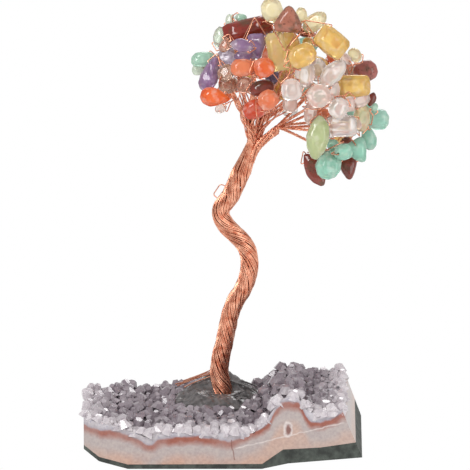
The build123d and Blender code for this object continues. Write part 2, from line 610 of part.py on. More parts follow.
def bough_lines(rows):
    """Points along each bough: wound together along the limb, then out to the bough's own tip."""
    lines = {}
    fork = rows[-1]
    for limb, (pixel, depth, angle) in LIMBS.items():
        start = at_bearing(fork, FORK_RING, math.radians(angle))
        end = from_photo(*pixel, depth * CROWN_DEPTH / 2)
        limb_rows = stations([start, start + fork[1] * LIMB_LEAD, end], LIMB_STEPS)
        names = [name for name, row in BOUGHS.items() if row[0] == limb]
        tips = {name: from_photo(*BOUGHS[name][1], BOUGHS[name][2] * CROWN_DEPTH / 2) for name in names}
        knot = limb_rows[-1]
        names.sort(key=lambda name: -unit(tips[name] - knot[0]).dot(knot[1]))
        slots = even_slots([bearing(knot, tips[name]) for name in names[1:]])
        twist = LIMB_TURN_SHARE * math.tau
        lines[names[0]] = [row[0] for row in limb_rows] + [tips[names[0]]]
        for name, slot in zip(names[1:], slots):
            lines[name] = wound(limb_rows, lambda share: BOUGH_PITCH, slot, twist) + [tips[name]]
    return lines


# Chips


def fan(count):
    """Directions spread evenly over a ball, followed by their opposites."""
    places = np.arange(count) + 0.5
    heights = 1 - places / count
    angles = places * math.pi * (3 - math.sqrt(5))
    flat = np.sqrt(1 - heights ** 2)
    half = np.stack((flat * np.cos(angles), flat * np.sin(angles), heights), axis=1)
    return np.concatenate((half, -half))


PROBES = fan(PROBE_COUNT)


def support(points):
    """Farthest reach of points along each probe direction."""
    return (np.asarray(points) @ PROBES.T).max(axis=0)


def spacing(first, second):
    """Safe lower bound of the gap between two convex shapes given by their supports."""
    half = len(PROBES) // 2
    return (-np.roll(first, half) - second).max()


def to_points(shape, points):
    """Safe lower bound of the gap between a convex shape and each of some points."""
    return (points @ PROBES.T - shape).max(axis=1)


def sampled(points, step):
    """Points spaced along straight runs."""
    rows = []
    for start, end in zip(points, points[1:]):
        count = max(1, math.ceil(np.linalg.norm(end - start) / step))
        rows.extend(start + (end - start) * k / count for k in range(count))
    return np.array(rows + [points[-1]])


class Chip:
    """Stone chip: its place, axes, outline, hole and the loop of wire through the hole."""

    def __init__(self, row, lines):
        self.stone, self.form, pixel, length, width, tilt, layer, self.bough, self.drill, self.free = row
        self.length = length * PIXEL_SIZE * CHIP_FULL_SHARE
        self.width = width * PIXEL_SIZE * CHIP_FULL_SHARE
        self.thick = self.width * FORM_THICK_SHARES[self.form]
        self.pixel = pixel
        across = (pixel[0] - CROWN_COLUMN_PX) / CROWN_HALF_WIDTH_PX
        up = (CROWN_ROW_PX - pixel[1]) / CROWN_HALF_HEIGHT_PX
        bulge = math.sqrt(max(0.0, 1 - across ** 2 - up ** 2))
        share = LAYER_SHARES[layer]
        self.depth = -share * bulge * CROWN_DEPTH / 2
        angle = math.radians(tilt)
        self.along = math.cos(angle) * RIGHT + math.sin(angle) * UP_IN_PHOTO
        face = math.copysign(1.0, share) * TO_VIEWER
        face = face + CHIP_LEAN_SHARE * (across * RIGHT + up * UP_IN_PHOTO)
        self.out = unit(face - self.along * face.dot(self.along))
        self.across = np.cross(self.out, self.along)
        self.tip = lines[self.bough][-1]
        self.shape_loop()

    def shape_loop(self):
        """Hole and loop in the plane of the chip's length and the hole."""
        centre = from_photo(*self.pixel, self.depth)
        self.root = -1 if (self.tip - centre).dot(self.along) < 0 else 1
        outline = FORM_SHARES[self.form]
        self.hole = self.root * HOLE_SHARE * self.length
        if self.drill == "across":
            self.axis = self.across
            profile = [(a * self.length, b * self.width) for a, b in outline]
        else:
            self.axis = self.out
            profile = [(side * 0.5 * ring * self.length, t * self.thick)
                       for side in (-1, 1) for t, ring in CHIP_RING_SHARES]
        reaches = self.reaches(profile)
        self.ends = [reaches[1] + LOOP_STANDOFF, reaches[0] - LOOP_STANDOFF]
        for attempt in range(LOOP_DROP_TRIES):
            self.drop = LOOP_DROP + attempt * LOOP_DROP_STEP
            if all(self.leg_clear(profile, end) for end in self.ends):
                break

    def reaches(self, profile):
        """Where the hole's axis enters and leaves the profile."""
        hull = sorted(profile, key=lambda p: math.atan2(p[1], p[0]))
        found = []
        for (a0, b0), (a1, b1) in zip(hull, hull[1:] + hull[:1]):
            if a0 != a1 and (a0 - self.hole) * (a1 - self.hole) <= 0:
                found.append(b0 + (b1 - b0) * (self.hole - a0) / (a1 - a0))
        return min(found), max(found)

    def leg_clear(self, profile, end):
        """Whether the straight leg from the hole's end to the twig clears the stone."""
        start = np.array((self.hole, end))
        leg = np.array((self.root * (self.length / 2 + self.drop), 0.0)) - start
        normal = unit(np.array((-leg[1], leg[0])))
        if normal.dot(-start) < 0:
            normal = -normal
        ahead = [np.array(point) for point in profile if (point[0] - self.hole) * self.root > 0]
        return min(normal.dot(point - start) for point in ahead) > WIRE_RADIUS + 2 * WIRE_GAP

    def centre(self):
        return from_photo(*self.pixel, self.depth)

    def local(self, a, b, centre):
        return centre + a * self.along + b * self.axis

    def loop(self):
        """Twig end, then the two corners of the loop."""
        centre = self.centre()
        twig = self.local(self.root * (self.length / 2 + self.drop), 0, centre)
        return [twig] + [self.local(self.hole, end, centre) for end in self.ends]

    def rings(self):
        centre = self.centre()
        return [[centre + a * s * self.length * self.along + b * s * self.width * self.across
                 + t * self.thick * self.out for a, b in FORM_SHARES[self.form]]
                for t, s in CHIP_RING_SHARES]

    def body(self):
        """Support of the chip alone, over all that a free chip can rock."""
        points = np.array(self.rings()).reshape(-1, 3)
        if not self.free:
            return support(points)
        pivot = self.local(self.hole, 0, self.centre())
        poses = []
        for degrees in (-SWING_DEG, -SWING_DEG / 2, 0, SWING_DEG / 2, SWING_DEG):
            arm = points - pivot
            turn = math.radians(degrees)
            lift = np.outer(arm @ self.axis, self.axis)
            poses.append(pivot + lift + (arm - lift) * math.cos(turn)
                         + np.cross(self.axis, arm) * math.sin(turn))
        return support(np.concatenate(poses))

    def room(self):
        """Support of the chip with its loop."""
        loop = support(self.loop()) + WIRE_RADIUS
        return np.maximum(self.body(), loop)

    def solid(self):
        pivot = self.local(self.hole, 0, self.centre())
        drill = Plane(tuple(pivot), z_dir=tuple(self.axis)) * Cylinder(HOLE_DIAMETER / 2, 3 * self.width)
        return (faceted(self.rings()) - drill).solid()


def settled_chips(lines):
    """Chips at their places in the photo, each moved back until it clears those set before it."""
    chips = [Chip(row, lines) for row in CHIPS]
    chips.sort(key=lambda chip: chip.depth)
    bough_points = np.concatenate([sampled(line, CHIP_STEP) for line in lines.values()])
    rooms = []
    for chip in chips:
        for attempt in range(CHIP_TRIES):
            room = chip.room()
            free = all(spacing(room, other) > CHIP_GAP for other in rooms)
            if free and to_points(room, bough_points).min() > BOUGH_RADIUS + CHIP_GAP:
                break
            chip.depth += CHIP_STEP
            chip.shape_loop()
        rooms.append(room)
    return chips, rooms


def twig_lines(lines, chips, rooms):
    """Route of each twig wire from its bough's tip to its chip and round the loop."""
    taken = {name: sampled(line, CHIP_STEP) for name, line in lines.items()}
    used = np.empty((0, 3))
    slots = {}
    for name, line in lines.items():
        own = [chip for chip in chips if chip.bough == name]
        ahead = unit(line[-1] - line[-2])
        side = unit(UP_IN_PHOTO - ahead * UP_IN_PHOTO.dot(ahead))
        row = (line[-1], ahead, side, np.cross(ahead, side))
        angles = even_slots([bearing(row, chip.loop()[0]) for chip in own])
        ring = (WIRE_RADIUS + WIRE_GAP / 4) / math.sin(math.pi / HUB_WIRES)
        for chip, angle in zip(own, angles):
            out = unit(at_bearing(row, ring, angle) - line[-1])
            start = at_bearing(row, ring, angle) + ahead * WIRE_RADIUS * HUB_LEAN_SHARE
            slots[chip] = (start, unit(ahead + HUB_LEAN_SHARE * out))
    routes = []
    for chip in chips:
        start, ahead = slots[chip]
        twig, first, second = chip.loop()
        others = [taken[name] for name in lines if name != chip.bough]
        own_bough = taken[chip.bough]
        others.append(own_bough[np.linalg.norm(own_bough - start, axis=1) > HUB_ROOM])
        boughs = np.concatenate(others)
        near_rooms = [room for other, room in zip(chips, rooms) if other is not chip
                      and np.linalg.norm(other.centre() - (start + twig) / 2) < CROWN_DEPTH / 2]
        near_rooms.append(chip.body())
        best = None
        for via in detours(start, ahead, twig):
            route = looped([start] + via, twig, first, second)
            if min(bend_radii(route, WIRE_BEND)) < WIRE_RADIUS + WIRE_GAP:
                continue
            run = sampled(route[:-3], WIRE_RADIUS)
            gap = min(to_points(room, run[::2]).min() for room in near_rooms)
            gap = min(gap, distance(run, boughs) - BOUGH_RADIUS)
            if len(used):
                gap = min(gap, wire_gap(run, used, start))
            if best is None or gap > best[0]:
                best = (gap, route)
            if gap > WIRE_RADIUS + 2 * WIRE_GAP:
                break
        used = np.concatenate((used, sampled(best[1], WIRE_RADIUS)))
        routes.append(best[1])
    return routes


def looped(route, twig, first, second):
    """Route run on round a chip's loop, the gentler way round."""
    inward = unit(twig - route[-1])
    if inward.dot(unit(first - twig)) < inward.dot(unit(second - twig)):
        first, second = second, first
    tail = second + (twig - second) * LOOP_TAIL_SHARE
    return route + [twig, first, second, tail]


def wire_gap(run, used, start):
    """Gap from a wire's points to other wires, with less asked where they leave a bough together."""
    near = np.linalg.norm(run - start, axis=1) < HUB_FAN
    gaps = [distance(part, used) - WIRE_RADIUS + ease
            for part, ease in ((run[near], 2 * WIRE_GAP), (run[~near], 0)) if len(part)]
    return min(gaps)


def detours(start, ahead, end):
    """Ways on from a bough's tip to a twig's end: straight first, then bowed out to each side."""
    ways = []
    for leads in LEAD_STEPS:
        lead = start + leads * HUB_LEAD * ahead
        line = end - lead
        reach = np.linalg.norm(line)
        side = unit(np.cross(line, UP_IN_PHOTO))
        up = np.cross(unit(line), side)
        ways.append([lead])
        for bow in BOW_SHARES:
            for share in BOW_PLACE_SHARES:
                for k in range(BOW_WAYS):
                    turn = k * math.tau / BOW_WAYS
                    swing = math.cos(turn) * side + math.sin(turn) * up
                    ways.append([lead, lead + line * share + bow * reach * swing])
    return ways


def distance(first, second):
    """Least distance between two sets of points, or a bough's bend if they are farther apart."""
    low = first.min(axis=0) - BOUGH_BEND
    high = first.max(axis=0) + BOUGH_BEND
    near = second[((second > low) & (second < high)).all(axis=1)]
    if not len(near):
        return BOUGH_BEND
    return np.sqrt(((first[:, None, :] - near[None, :, :]) ** 2).sum(axis=2)).min()


def chip_node(chip):
    """Name of the node that a chip belongs to."""
    if chip.free:
        return chip.free
    place = "back" if chip.bough.startswith("back") else BOUGHS[chip.bough][0]
    return f"{chip.stone}_chips_{place}"


def tree():
    """Every node of the object with its solids."""
    nodes = {}
    nodes["rock_rind"] = [stone_layer(RIND_UNDER_PX, RIND_TOP_PX, level, level)]
    nodes["agate_slab"] = [stone_layer(RIND_TOP_PX, AGATE_TOP_PX, level, on_back)]
    points = amethyst_points()
    crust = stone_layer(AGATE_TOP_PX, CRUST_TOP_PX, on_back, on_back)
    nodes["quartz_crust"] = crust.cut(*points).solids()
    nodes["amethyst_points"] = points
    nodes["glue_pad"] = [glue_pad()]
    nodes["root_wires"] = [root_wire(*row) for row in ROOT_RING_ENDS]
    rows = trunk_rows()
    nodes["trunk_core"] = [trunk_core(rows)]
    nodes["trunk_strands"] = trunk_strands(rows)
    nodes["stray_wire_loop"] = [stray_loop(rows)]
    lines = bough_lines(rows)
    for name, line in lines.items():
        nodes.setdefault(f"{BOUGHS[name][0]}_boughs", []).append(bough(rows, line))
    chips, rooms = settled_chips(lines)
    for chip, route in zip(chips, twig_lines(lines, chips, rooms)):
        twigs = nodes.setdefault(f"{BOUGHS[chip.bough][0]}_twig_wires", [])
        twigs.append(bent_wire(route, WIRE_RADIUS, WIRE_BEND))
        nodes.setdefault(chip_node(chip), []).append(chip.solid())
    return nodes


def main():
    os.makedirs("parts", exist_ok=True)
    for name, solids in tree().items():
        shape = solids[0] if len(solids) == 1 else Compound(children=list(solids))
        export_step(shape, f"parts/{name}.step")


if __name__ == "__main__":
    main()
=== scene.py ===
"""Looks of a gemstone tree ornament: a copper wire tree with gem chips on a sawn piece of geode."""

import json
import math
import random

import bpy
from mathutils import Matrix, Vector
from mathutils.geometry import interpolate_bezier

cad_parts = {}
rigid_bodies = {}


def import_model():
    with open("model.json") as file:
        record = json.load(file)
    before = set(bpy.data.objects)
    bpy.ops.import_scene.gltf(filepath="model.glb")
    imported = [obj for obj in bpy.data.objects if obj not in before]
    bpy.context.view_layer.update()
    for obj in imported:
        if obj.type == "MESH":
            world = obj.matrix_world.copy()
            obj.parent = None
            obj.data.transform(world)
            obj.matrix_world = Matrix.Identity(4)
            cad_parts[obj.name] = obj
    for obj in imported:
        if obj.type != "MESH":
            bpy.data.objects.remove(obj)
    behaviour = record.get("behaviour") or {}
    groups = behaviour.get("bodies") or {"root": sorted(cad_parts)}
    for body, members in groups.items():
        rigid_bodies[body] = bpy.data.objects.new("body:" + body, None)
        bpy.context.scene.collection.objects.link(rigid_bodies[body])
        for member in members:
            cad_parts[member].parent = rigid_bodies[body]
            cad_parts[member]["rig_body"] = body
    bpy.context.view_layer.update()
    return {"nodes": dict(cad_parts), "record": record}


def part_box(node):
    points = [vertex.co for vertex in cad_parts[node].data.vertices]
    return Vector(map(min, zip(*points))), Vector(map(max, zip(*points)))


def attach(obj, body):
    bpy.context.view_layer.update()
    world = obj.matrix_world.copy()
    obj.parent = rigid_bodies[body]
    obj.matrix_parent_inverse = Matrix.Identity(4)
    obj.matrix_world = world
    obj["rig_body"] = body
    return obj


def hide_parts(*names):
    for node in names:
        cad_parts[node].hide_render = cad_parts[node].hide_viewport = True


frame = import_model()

bl_info = {
    "name": "Gemstone Tree",
    "version": (1, 0, 0),
    "blender": (4, 5, 0),
    "location": "3D View > Sidebar > Gem Tree",
    "description": "Builds the looks of a gemstone tree ornament around its CAD frame",
    "category": "Object",
}

MM = 0.001
RIGHT = Vector((1, 0, 0))
ROOT = "tree"
BLACK, WHITE = (0, 0, 0), (1, 1, 1)

# Trunk and limbs: steps along them, and how their wires stray, wind and fan out
TRUNK_STEPS = 96
FORK_SHARE = 0.93
WIRE_PACKING = 1.08
PHASE_JITTER = 0.15
WAVE_COUNTS = (2, 6)
DRIFT_TURN = 0.07
FLARE_POWER = 4
LIMB_STEPS = 8
LIMB_TURN_SHARE = 0.35
STATION_TURN_SHARE = 0.1
LEAVE_ROWS = (6, 7, 8, 9)
FAN_SHARES = (0.16, 0.34, 0.52)
FAN_END_SHARES = (0.66, 0.86)
FAN_STRAY = 0.9
BOUGH_STEP = 0.7 * MM
GLUED_WIRE_SHARE = 1.5

# Druse crystals: shares of their pitch, size and height, and tilt in radians
CRYSTAL_SIDES = (5, 6, 6, 7)
CRYSTAL_TILT = 0.7
BLUNT_SHARES = (0.35, 0.6)
CRYSTAL_SHIFT_SHARES = (0.15, 0.85)
CRYSTAL_SIZES = (0.65, 1.25)
CRYSTAL_RADIUS_SHARE = 0.72
CRYSTAL_LIFT_SHARE = 0.3
STEEP = 0.3
PAD_CLEAR_SHARE = 0.9
RIM_SHIFT_SHARES = (0.3, 0.7)
RIM_SIZES = (1.0, 1.45)
RIM_INSET = (1.4, 2.4)

# Glue pad: mound behind the trunk, detail and lumps
MOUND_RADIUS = 12 * MM
MOUND_TOP_RADIUS = 2.4 * MM
MOUND_HEIGHT = 9.5 * MM
MOUND_PLACE = (-1 * MM, 5 * MM, 0.6 * MM)
MOUND_STRETCH = (1.4, 0.85, 1)
PAD_VOXEL = 0.5 * MM
LUMP_SCALE = 5 * MM
LUMP_HEIGHT = 2.4 * MM

# Gem chips: size of the waves on them, and how near a pixel a tint of OTHER_TINTS is
WAVE_SCALE = 6 * MM
TINT_REACH_PX = 4

# Paint of the stone: heights above the brown band, widths at its edges, and the marks on its face
BAND_TOP = 40 * MM
BAND_WAVE = 1.6 * MM
LAYERS = (-16 * MM, 8 * MM)
PATCHES = (1.5 * MM, 7 * MM)
SPECKS = (1.2 * MM, 2.4 * MM)
EDGE = (0.5 * MM, 2 * MM)
ENDS = (38 * MM, 42 * MM)
FACE_DEPTH = 20 * MM
NODULE_REACH = (2.0 * MM, FACE_DEPTH, 3.4 * MM)
CRACK_WIDTH, SEAM_WIDTH, CRACK_WOBBLE = 0.35 * MM, 0.3 * MM, 0.8 * MM
PALE_RIM = (2 * MM, 11 * MM)
PALE_ENDS = (36 * MM, 49 * MM)

# Stage: what the camera looks at and from how far, and the lights' place, size and power
VIEW_MIDDLE = (4.4 * MM, 0, 78 * MM)
VIEW_DISTANCE = 5.0
PHOTO_WIDTH_PX = 470
WORLD_STRENGTH = 0.62
FLOOR_SIZE = 8
FLOOR_DROP = 0.1 * MM
LIGHTS = {
    "key_light": ((-0.5, -0.7, 0.8), 0.5, 7.0),
    "fill_light": ((0.7, -0.6, 0.35), 0.6, 2.5),
    "back_light": ((0.2, 0.8, 0.7), 0.5, 4.0),
}

# Pixels of the trunk's line in the photo, from the glue pad to the fork
TRUNK_PX = ((219.5, 375), (220, 363), (222, 352), (225, 340), (228, 325), (231, 312), (236, 300),
            (243, 289), (247.7, 277), (249.5, 266), (248.8, 254), (243.5, 243), (235, 234), (226, 225),
            (221, 215), (222, 207), (226.5, 201), (231, 195), (235, 186), (239, 177), (244, 167),
            (248, 158), (252, 150))

# Limbs: pixel of the knot where the boughs part, depth share, bearing at the fork in degrees
LIMBS = {
    "left": ((250, 126), -0.05, 200.0),
    "middle": ((261, 121), 0.1, 80.0),
    "right": ((281, 127), -0.05, -40.0),
}

# Boughs: limb, pixel of the tip, depth share
BOUGHS = {
    "low_left": ("left", (238, 100), -0.1),
    "far_left": ("left", (224, 74), 0.0),
    "upper_left": ("left", (235, 48), 0.0),
    "left_top": ("left", (254, 43), -0.1),
    "middle_left": ("left", (254, 80), -0.2),
    "middle_low": ("left", (262, 106), -0.35),
    "back_left": ("left", (240, 76), 0.45),
    "top": ("middle", (286, 34), 0.0),
    "top_right": ("middle", (312, 43), 0.0),
    "centre": ("middle", (284, 66), -0.3),
    "front_right": ("middle", (306, 84), -0.35),
    "right_top": ("middle", (345, 68), 0.0),
    "back_top": ("middle", (278, 46), 0.45),
    "back_middle": ("middle", (292, 86), 0.5),
    "front_low": ("right", (312, 106), -0.4),
    "right": ("right", (346, 98), -0.1),
    "right_low": ("right", (356, 124), 0.0),
    "droop": ("right", (322, 132), -0.2),
    "droop_low": ("right", (336, 155), 0.0),
    "back_right": ("right", (332, 72), 0.45),
    "back_low": ("right", (338, 120), 0.45),
}

# Pixels along the brown band on the sawn front face
BAND_PX = ((84, 431), (104, 433), (119, 435), (139, 443), (149, 448), (158, 444), (167, 441), (188, 440),
           (214, 442), (232, 443), (248, 437), (268, 425), (277, 411), (287, 405), (297, 406), (305, 417),
           (315, 425), (333, 421), (345, 415), (362, 409))

# How far the layers fall from the front face to the back, and the share of it at columns of the photo
BACK_FALL = 7.5 * MM
BACK_FALL_SHARES = ((84, 0.65), (122, 0.4), (146, 0.0), (254, 0.0), (268, 0.35), (279, 0.8), (288, 1.0),
                    (298, 0.95), (306, 0.55), (316, 0.35), (333, 0.35), (362, 0.4))

# Pixels of the nodule, the long crack and the upright seam on the sawn front face
NODULE_PX = (288, 429)
CRACK_PX = (234, 448), (345, 422)
SEAM_PX = (231, 439), (235, 460)

# Strands at the trunk's foot: pixels and depth in millimetres behind the trunk
BARE_STRANDS = (
    ((212, 372, 2.5), (200, 376, 4.0), (190, 380, 5.5), (180, 384, 7.0)),
    ((212, 374, 2.0), (199, 378, 3.5), (188, 382, 5.0), (177, 386.5, 6.0)),
    ((212, 370, 3.0), (203, 374, 5.0), (194, 377.5, 7.0), (183, 381.5, 8.5)),
    ((213, 376, 1.0), (202, 380, 2.0), (192, 384, 3.0), (184, 388, 3.5)),
    ((213, 373, 2.8), (201, 377, 4.4), (189, 381, 6.2), (175, 385, 8.0)),
)
GLUED_STRANDS = (
    ((228, 380, 2.0), (238, 383.5, 2.5), (247, 387, 3.0), (256, 391, 3.0)),
    ((229, 378, 4.0), (240, 381, 5.0), (249, 384, 6.0), (257, 387, 6.0)),
    ((230, 381, 0.5), (240, 384.5, 0.5), (248, 388, 0.5), (254, 392, 0.0)),
    ((205, 398, -6.0), (214, 402, -7.5), (226, 400, -7.0), (238, 396, -5.5)),
    ((208, 402, -8.0), (219, 406, -9.5), (230, 404, -9.0), (241, 398, -7.0)),
    ((212, 396, -5.0), (222, 399, -6.5), (232, 396.5, -5.5), (244, 391, -3.5)),
    ((216, 407, -10.0), (227, 402, -8.0), (237, 399, -6.5), (247, 399, -6.5)),
)

# Tints in bytes, and the chips that have another tint than their stone's first one
TINTS = {
    "golden": (240, 204, 118), "pale": (246, 236, 198), "milky": (244, 224, 158), "honey": (222, 172, 94),
    "block_red": (132, 42, 30), "heart": (164, 104, 84), "speckled": (168, 98, 90), "dark_red": (130, 58, 46),
    "garnet": (136, 54, 44), "violet": (164, 132, 170), "lilac": (198, 186, 202), "indigo": (112, 96, 134),
    "orange": (238, 118, 56), "peach": (240, 144, 98), "deep_orange": (222, 88, 46),
    "green": (186, 220, 200), "teal": (166, 216, 196), "aqua": (180, 222, 206), "olive": (196, 206, 158),
    # rose: the chips' own pale pink together with a painted pink reflection of the copper wires in them
    "pale_green": (218, 228, 212), "clear": (248, 242, 238), "rose": (246, 230, 222),
    "smoky": (208, 174, 152), "tan": (216, 168, 146),
}
STONES = {
    "golden_citrine": ("golden", 0.55), "pale_citrine": ("pale", 0.65), "amethyst": ("violet", 0.5),
    "carnelian": ("orange", 0.45), "aventurine": ("teal", 0.4), "red_jasper": ("dark_red", 0.0),
    "brown_jasper": ("heart", 0.0), "clear_quartz": ("clear", 0.7), "rose_quartz": ("rose", 0.68),
}
OTHER_TINTS = (
    (277, 53, "milky"), (283, 86, "honey"), (365, 72, "speckled"), (248, 30, "block_red"),
    (305, 34, "garnet"), (371, 100, "garnet"), (227, 59, "lilac"), (272, 78, "indigo"), (243, 69, "peach"),
    (268, 101, "peach"), (255, 110, "deep_orange"), (323, 114, "peach"), (203, 60, "green"),
    (199, 70, "pale_green"), (230, 21, "pale_green"), (241, 19, "green"), (377, 120, "aqua"),
    (317, 138, "olive"), (219, 38, "pale_green"), (225, 46, "tan"), (226, 74, "smoky"), (229, 86, "smoky"),
    (245, 86, "tan"), (350, 71, "smoky"), (374, 108, "green"),
)


def linear(color):
    """Linear colour of a triple of bytes."""
    return tuple((c / 255 / 12.92 if c < 11 else ((c / 255 + 0.055) / 1.055) ** 2.4) for c in color)


def length(name, description, millimetres):
    return bpy.props.FloatProperty(name=name, description=description, default=millimetres * MM,
                                   unit="LENGTH", precision=5)


def count(name, description, value):
    return bpy.props.IntProperty(name=name, description=description, default=value)


def angle(name, description, degrees):
    return bpy.props.FloatProperty(name=name, description=description, default=math.radians(degrees),
                                   subtype="ANGLE")


def color(name, description, value):
    return bpy.props.FloatVectorProperty(name=name, description=description, default=linear(value),
                                         subtype="COLOR", size=3, min=0, max=1)


class GemTreeSizes(bpy.types.PropertyGroup):
    pixel: length("Photo pixel", "Size of a pixel of the photo at the tree", 0.366)
    rise: angle("Camera rise", "Angle that the camera looks down by", 19.0)
    foot_column: bpy.props.FloatProperty(name="Foot column", description="Photo column of the trunk's foot",
                                         default=223.0)
    ground_row: bpy.props.FloatProperty(name="Ground row", description="Photo row of the table at the trunk",
                                        default=436.5)
    underside_row: bpy.props.FloatProperty(name="Underside row", description="Photo row of the front's foot",
                                           default=468.5)
    crown_depth: length("Crown depth", "Depth of the crown from front to back", 48.0)
    trunk_radius: length("Trunk radius", "Radius of the twisted trunk", 3.25)
    trunk_flare: length("Trunk flare", "How much wider the trunk is at foot and fork", 0.45)
    trunk_wires: count("Trunk wires", "Wires seen round the trunk", 38)
    trunk_turns: bpy.props.FloatProperty(name="Trunk turns", description="Turns of a wire along the trunk",
                                         default=-2.6)
    trunk_loose: length("Trunk looseness", "How far trunk wires stray from the round", 0.1)
    fork_ring: length("Fork ring", "Distance of the limbs from the trunk's line at the fork", 1.6)
    limb_root: length("Limb root", "Length of the limbs inside the trunk", 4.0)
    limb_lead: length("Limb lead", "Straight run of the limbs out of the trunk", 3.0)
    limb_radius: length("Limb radius", "Distance of the outer wires from a limb's line", 1.55)
    bough_wires: count("Bough wires", "Wires twisted together in a bough", 4)
    bough_radius: length("Bough radius", "Radius of a bough", 0.56)
    bough_pitch: length("Bough pitch", "Length of one turn of a bough's wires", 6.0)
    wire_radius: length("Wire radius", "Radius of the wires in boughs", 0.23)
    chip_voxel: length("Chip detail", "Size of the detail of the chips' surface", 0.32)
    chip_swell: length("Chip swell", "What smoothing takes off the chips and is put back", 0.1)
    chip_rounds: count("Chip rounds", "How often the chips' edges are smoothed", 14)
    chip_waves: length("Chip waves", "How far the chips' surface is uneven", 0.7)
    crystal_pitch: length("Crystal pitch", "Distance between the druse crystals", 3.1)
    crystal_height: length("Crystal height", "Height of the druse crystals", 2.5)
    rim_pitch: length("Rim pitch", "Distance between the pale crystals on the front rim", 3.3)


class GemTreeColours(bpy.types.PropertyGroup):
    copper_dark: color("Copper shade", "Darker copper", (204, 122, 92))
    copper_light: color("Copper light", "Lighter copper", (250, 190, 160))
    peach: color("Peach agate", "Lower part of the slab", (190, 162, 148))
    chalcedony: color("Grey agate", "Grey layer below the band", (176, 164, 160))
    band: color("Band", "Brown band", (150, 86, 70))
    lilac: color("Lilac layer", "Pale layer above the band", (192, 188, 192))
    crust: color("Crust", "Ground of the druse", (120, 110, 116))
    crystal_dark: color("Crystal shade", "Darker druse crystals", (158, 146, 153))
    crystal_light: color("Crystal light", "Paler druse crystals", (232, 225, 228))
    rind: color("Rind", "Dark rock rind", (60, 65, 60))
    glue: color("Glue", "Dark glue", (84, 80, 80))
    layer_edge: color("Layer edge", "Shade between the band and the pale layer", (164, 158, 166))
    salmon: color("Salmon agate", "Patches near the slab's underside", (196, 148, 124))
    speck: color("Specks", "Bluish specks in the pale layer", (148, 146, 164))
    ring: color("Ring", "White ring of the nodule and the long crack", (214, 204, 200))
    seam: color("Seam", "Brown heart of the nodule and the upright seam", (120, 70, 60))
    jasper_patch: color("Jasper patch", "Olive patches in jasper", (84, 66, 46))
    jasper_speck: color("Jasper speck", "Dark specks in jasper", (60, 34, 30))
    veil: color("Veil", "White veils in clear stones", (252, 244, 232))


def sizes():
    return bpy.context.scene.gem_tree_sizes


def colours():
    return bpy.context.scene.gem_tree_colours


# Places and lines


def from_photo(column, row, back):
    """Point that shows at a pixel of the photo, at a depth behind the trunk."""
    s = sizes()
    x = (column - s.foot_column) * s.pixel
    z = ((s.ground_row - row) * s.pixel - back * math.sin(s.rise)) / math.cos(s.rise)
    return Vector((x, back, z))


def to_photo(point):
    """Column and row of the photo where a point shows."""
    s = sizes()
    rise = point.z * math.cos(s.rise) + point.y * math.sin(s.rise)
    return Vector((point.x / s.pixel + s.foot_column, s.ground_row - rise / s.pixel))


def on_front(column, row):
    """Place across and height on the sawn front face that show at a pixel of the photo."""
    s = sizes()
    return (column - s.foot_column) * s.pixel, (s.underside_row - row) * s.pixel / math.cos(s.rise)


def smooth_line(points, fine=24):
    """Dense points of a smooth line through points."""
    dense = []
    last = len(points) - 1
    for k in range(last):
        before = points[max(k - 1, 0)]
        after = points[min(k + 2, last)]
        lead = (points[k + 1] - before) / 6
        trail = (after - points[k]) / 6
        piece = interpolate_bezier(points[k], points[k] + lead, points[k + 1] - trail, points[k + 1], fine)
        dense += piece[:-1]
    return dense + [points[last]]


def stations(points, steps):
    """Places at even steps along a smooth line, each with its direction and two steady side axes."""
    dense = smooth_line(points)
    reach = [0.0]
    for a, b in zip(dense, dense[1:]):
        reach.append(reach[-1] + (b - a).length)
    rows = []
    side = RIGHT
    k = 0
    for step in range(steps + 1):
        goal = reach[-1] * step / steps
        while k < len(dense) - 2 and reach[k + 1] < goal:
            k += 1
        run = dense[k + 1] - dense[k]
        place = dense[k] + run * ((goal - reach[k]) / (reach[k + 1] - reach[k]))
        ahead = run.normalized()
        side = (side - ahead * side.dot(ahead)).normalized()
        rows.append((place, ahead, side, ahead.cross(side)))
    return rows, reach[-1]


def at_bearing(row, reach, turn):
    return row[0] + reach * (math.cos(turn) * row[2] + math.sin(turn) * row[3])


def bearing(row, point):
    return math.atan2((point - row[0]).dot(row[3]), (point - row[0]).dot(row[2]))


def even_slots(angles):
    """Evenly spread angles, in the same order round the circle and as near as they can be."""
    order = sorted(range(len(angles)), key=lambda index: angles[index])
    pitch = math.tau / len(angles)
    turns = [angles[index] - place * pitch for place, index in enumerate(order)]
    mean = math.atan2(sum(math.sin(turn) for turn in turns), sum(math.cos(turn) for turn in turns))
    slots = [0.0] * len(angles)
    for place, index in enumerate(order):
        slots[index] = mean + place * pitch
    return slots


def trunk_rows(steps):
    pad_low, pad_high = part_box("glue_pad")
    foot = Vector((0, 0, pad_low.z))
    first = Vector((0, 0, pad_high.z))
    return stations([foot, first] + [from_photo(*pixel, 0) for pixel in TRUNK_PX], steps)[0]


def limb_rows():
    """Stations along each limb, from inside the trunk to the knot where its boughs part."""
    s = sizes()
    fork = trunk_rows(64)[-1]
    found = {}
    for limb, (pixel, depth, turn) in LIMBS.items():
        start = at_bearing(fork, s.fork_ring, math.radians(turn))
        knot = from_photo(*pixel, depth * s.crown_depth / 2)
        line = [start - fork[1] * s.limb_root, start + fork[1] * s.limb_lead, knot]
        found[limb] = stations(line, LIMB_STEPS)[0]
    return found


def bough_tips(limb):
    """Tip of each bough of a limb."""
    half = sizes().crown_depth / 2
    return {name: from_photo(*pixel, depth * half)
            for name, (own, pixel, depth) in BOUGHS.items() if own == limb}


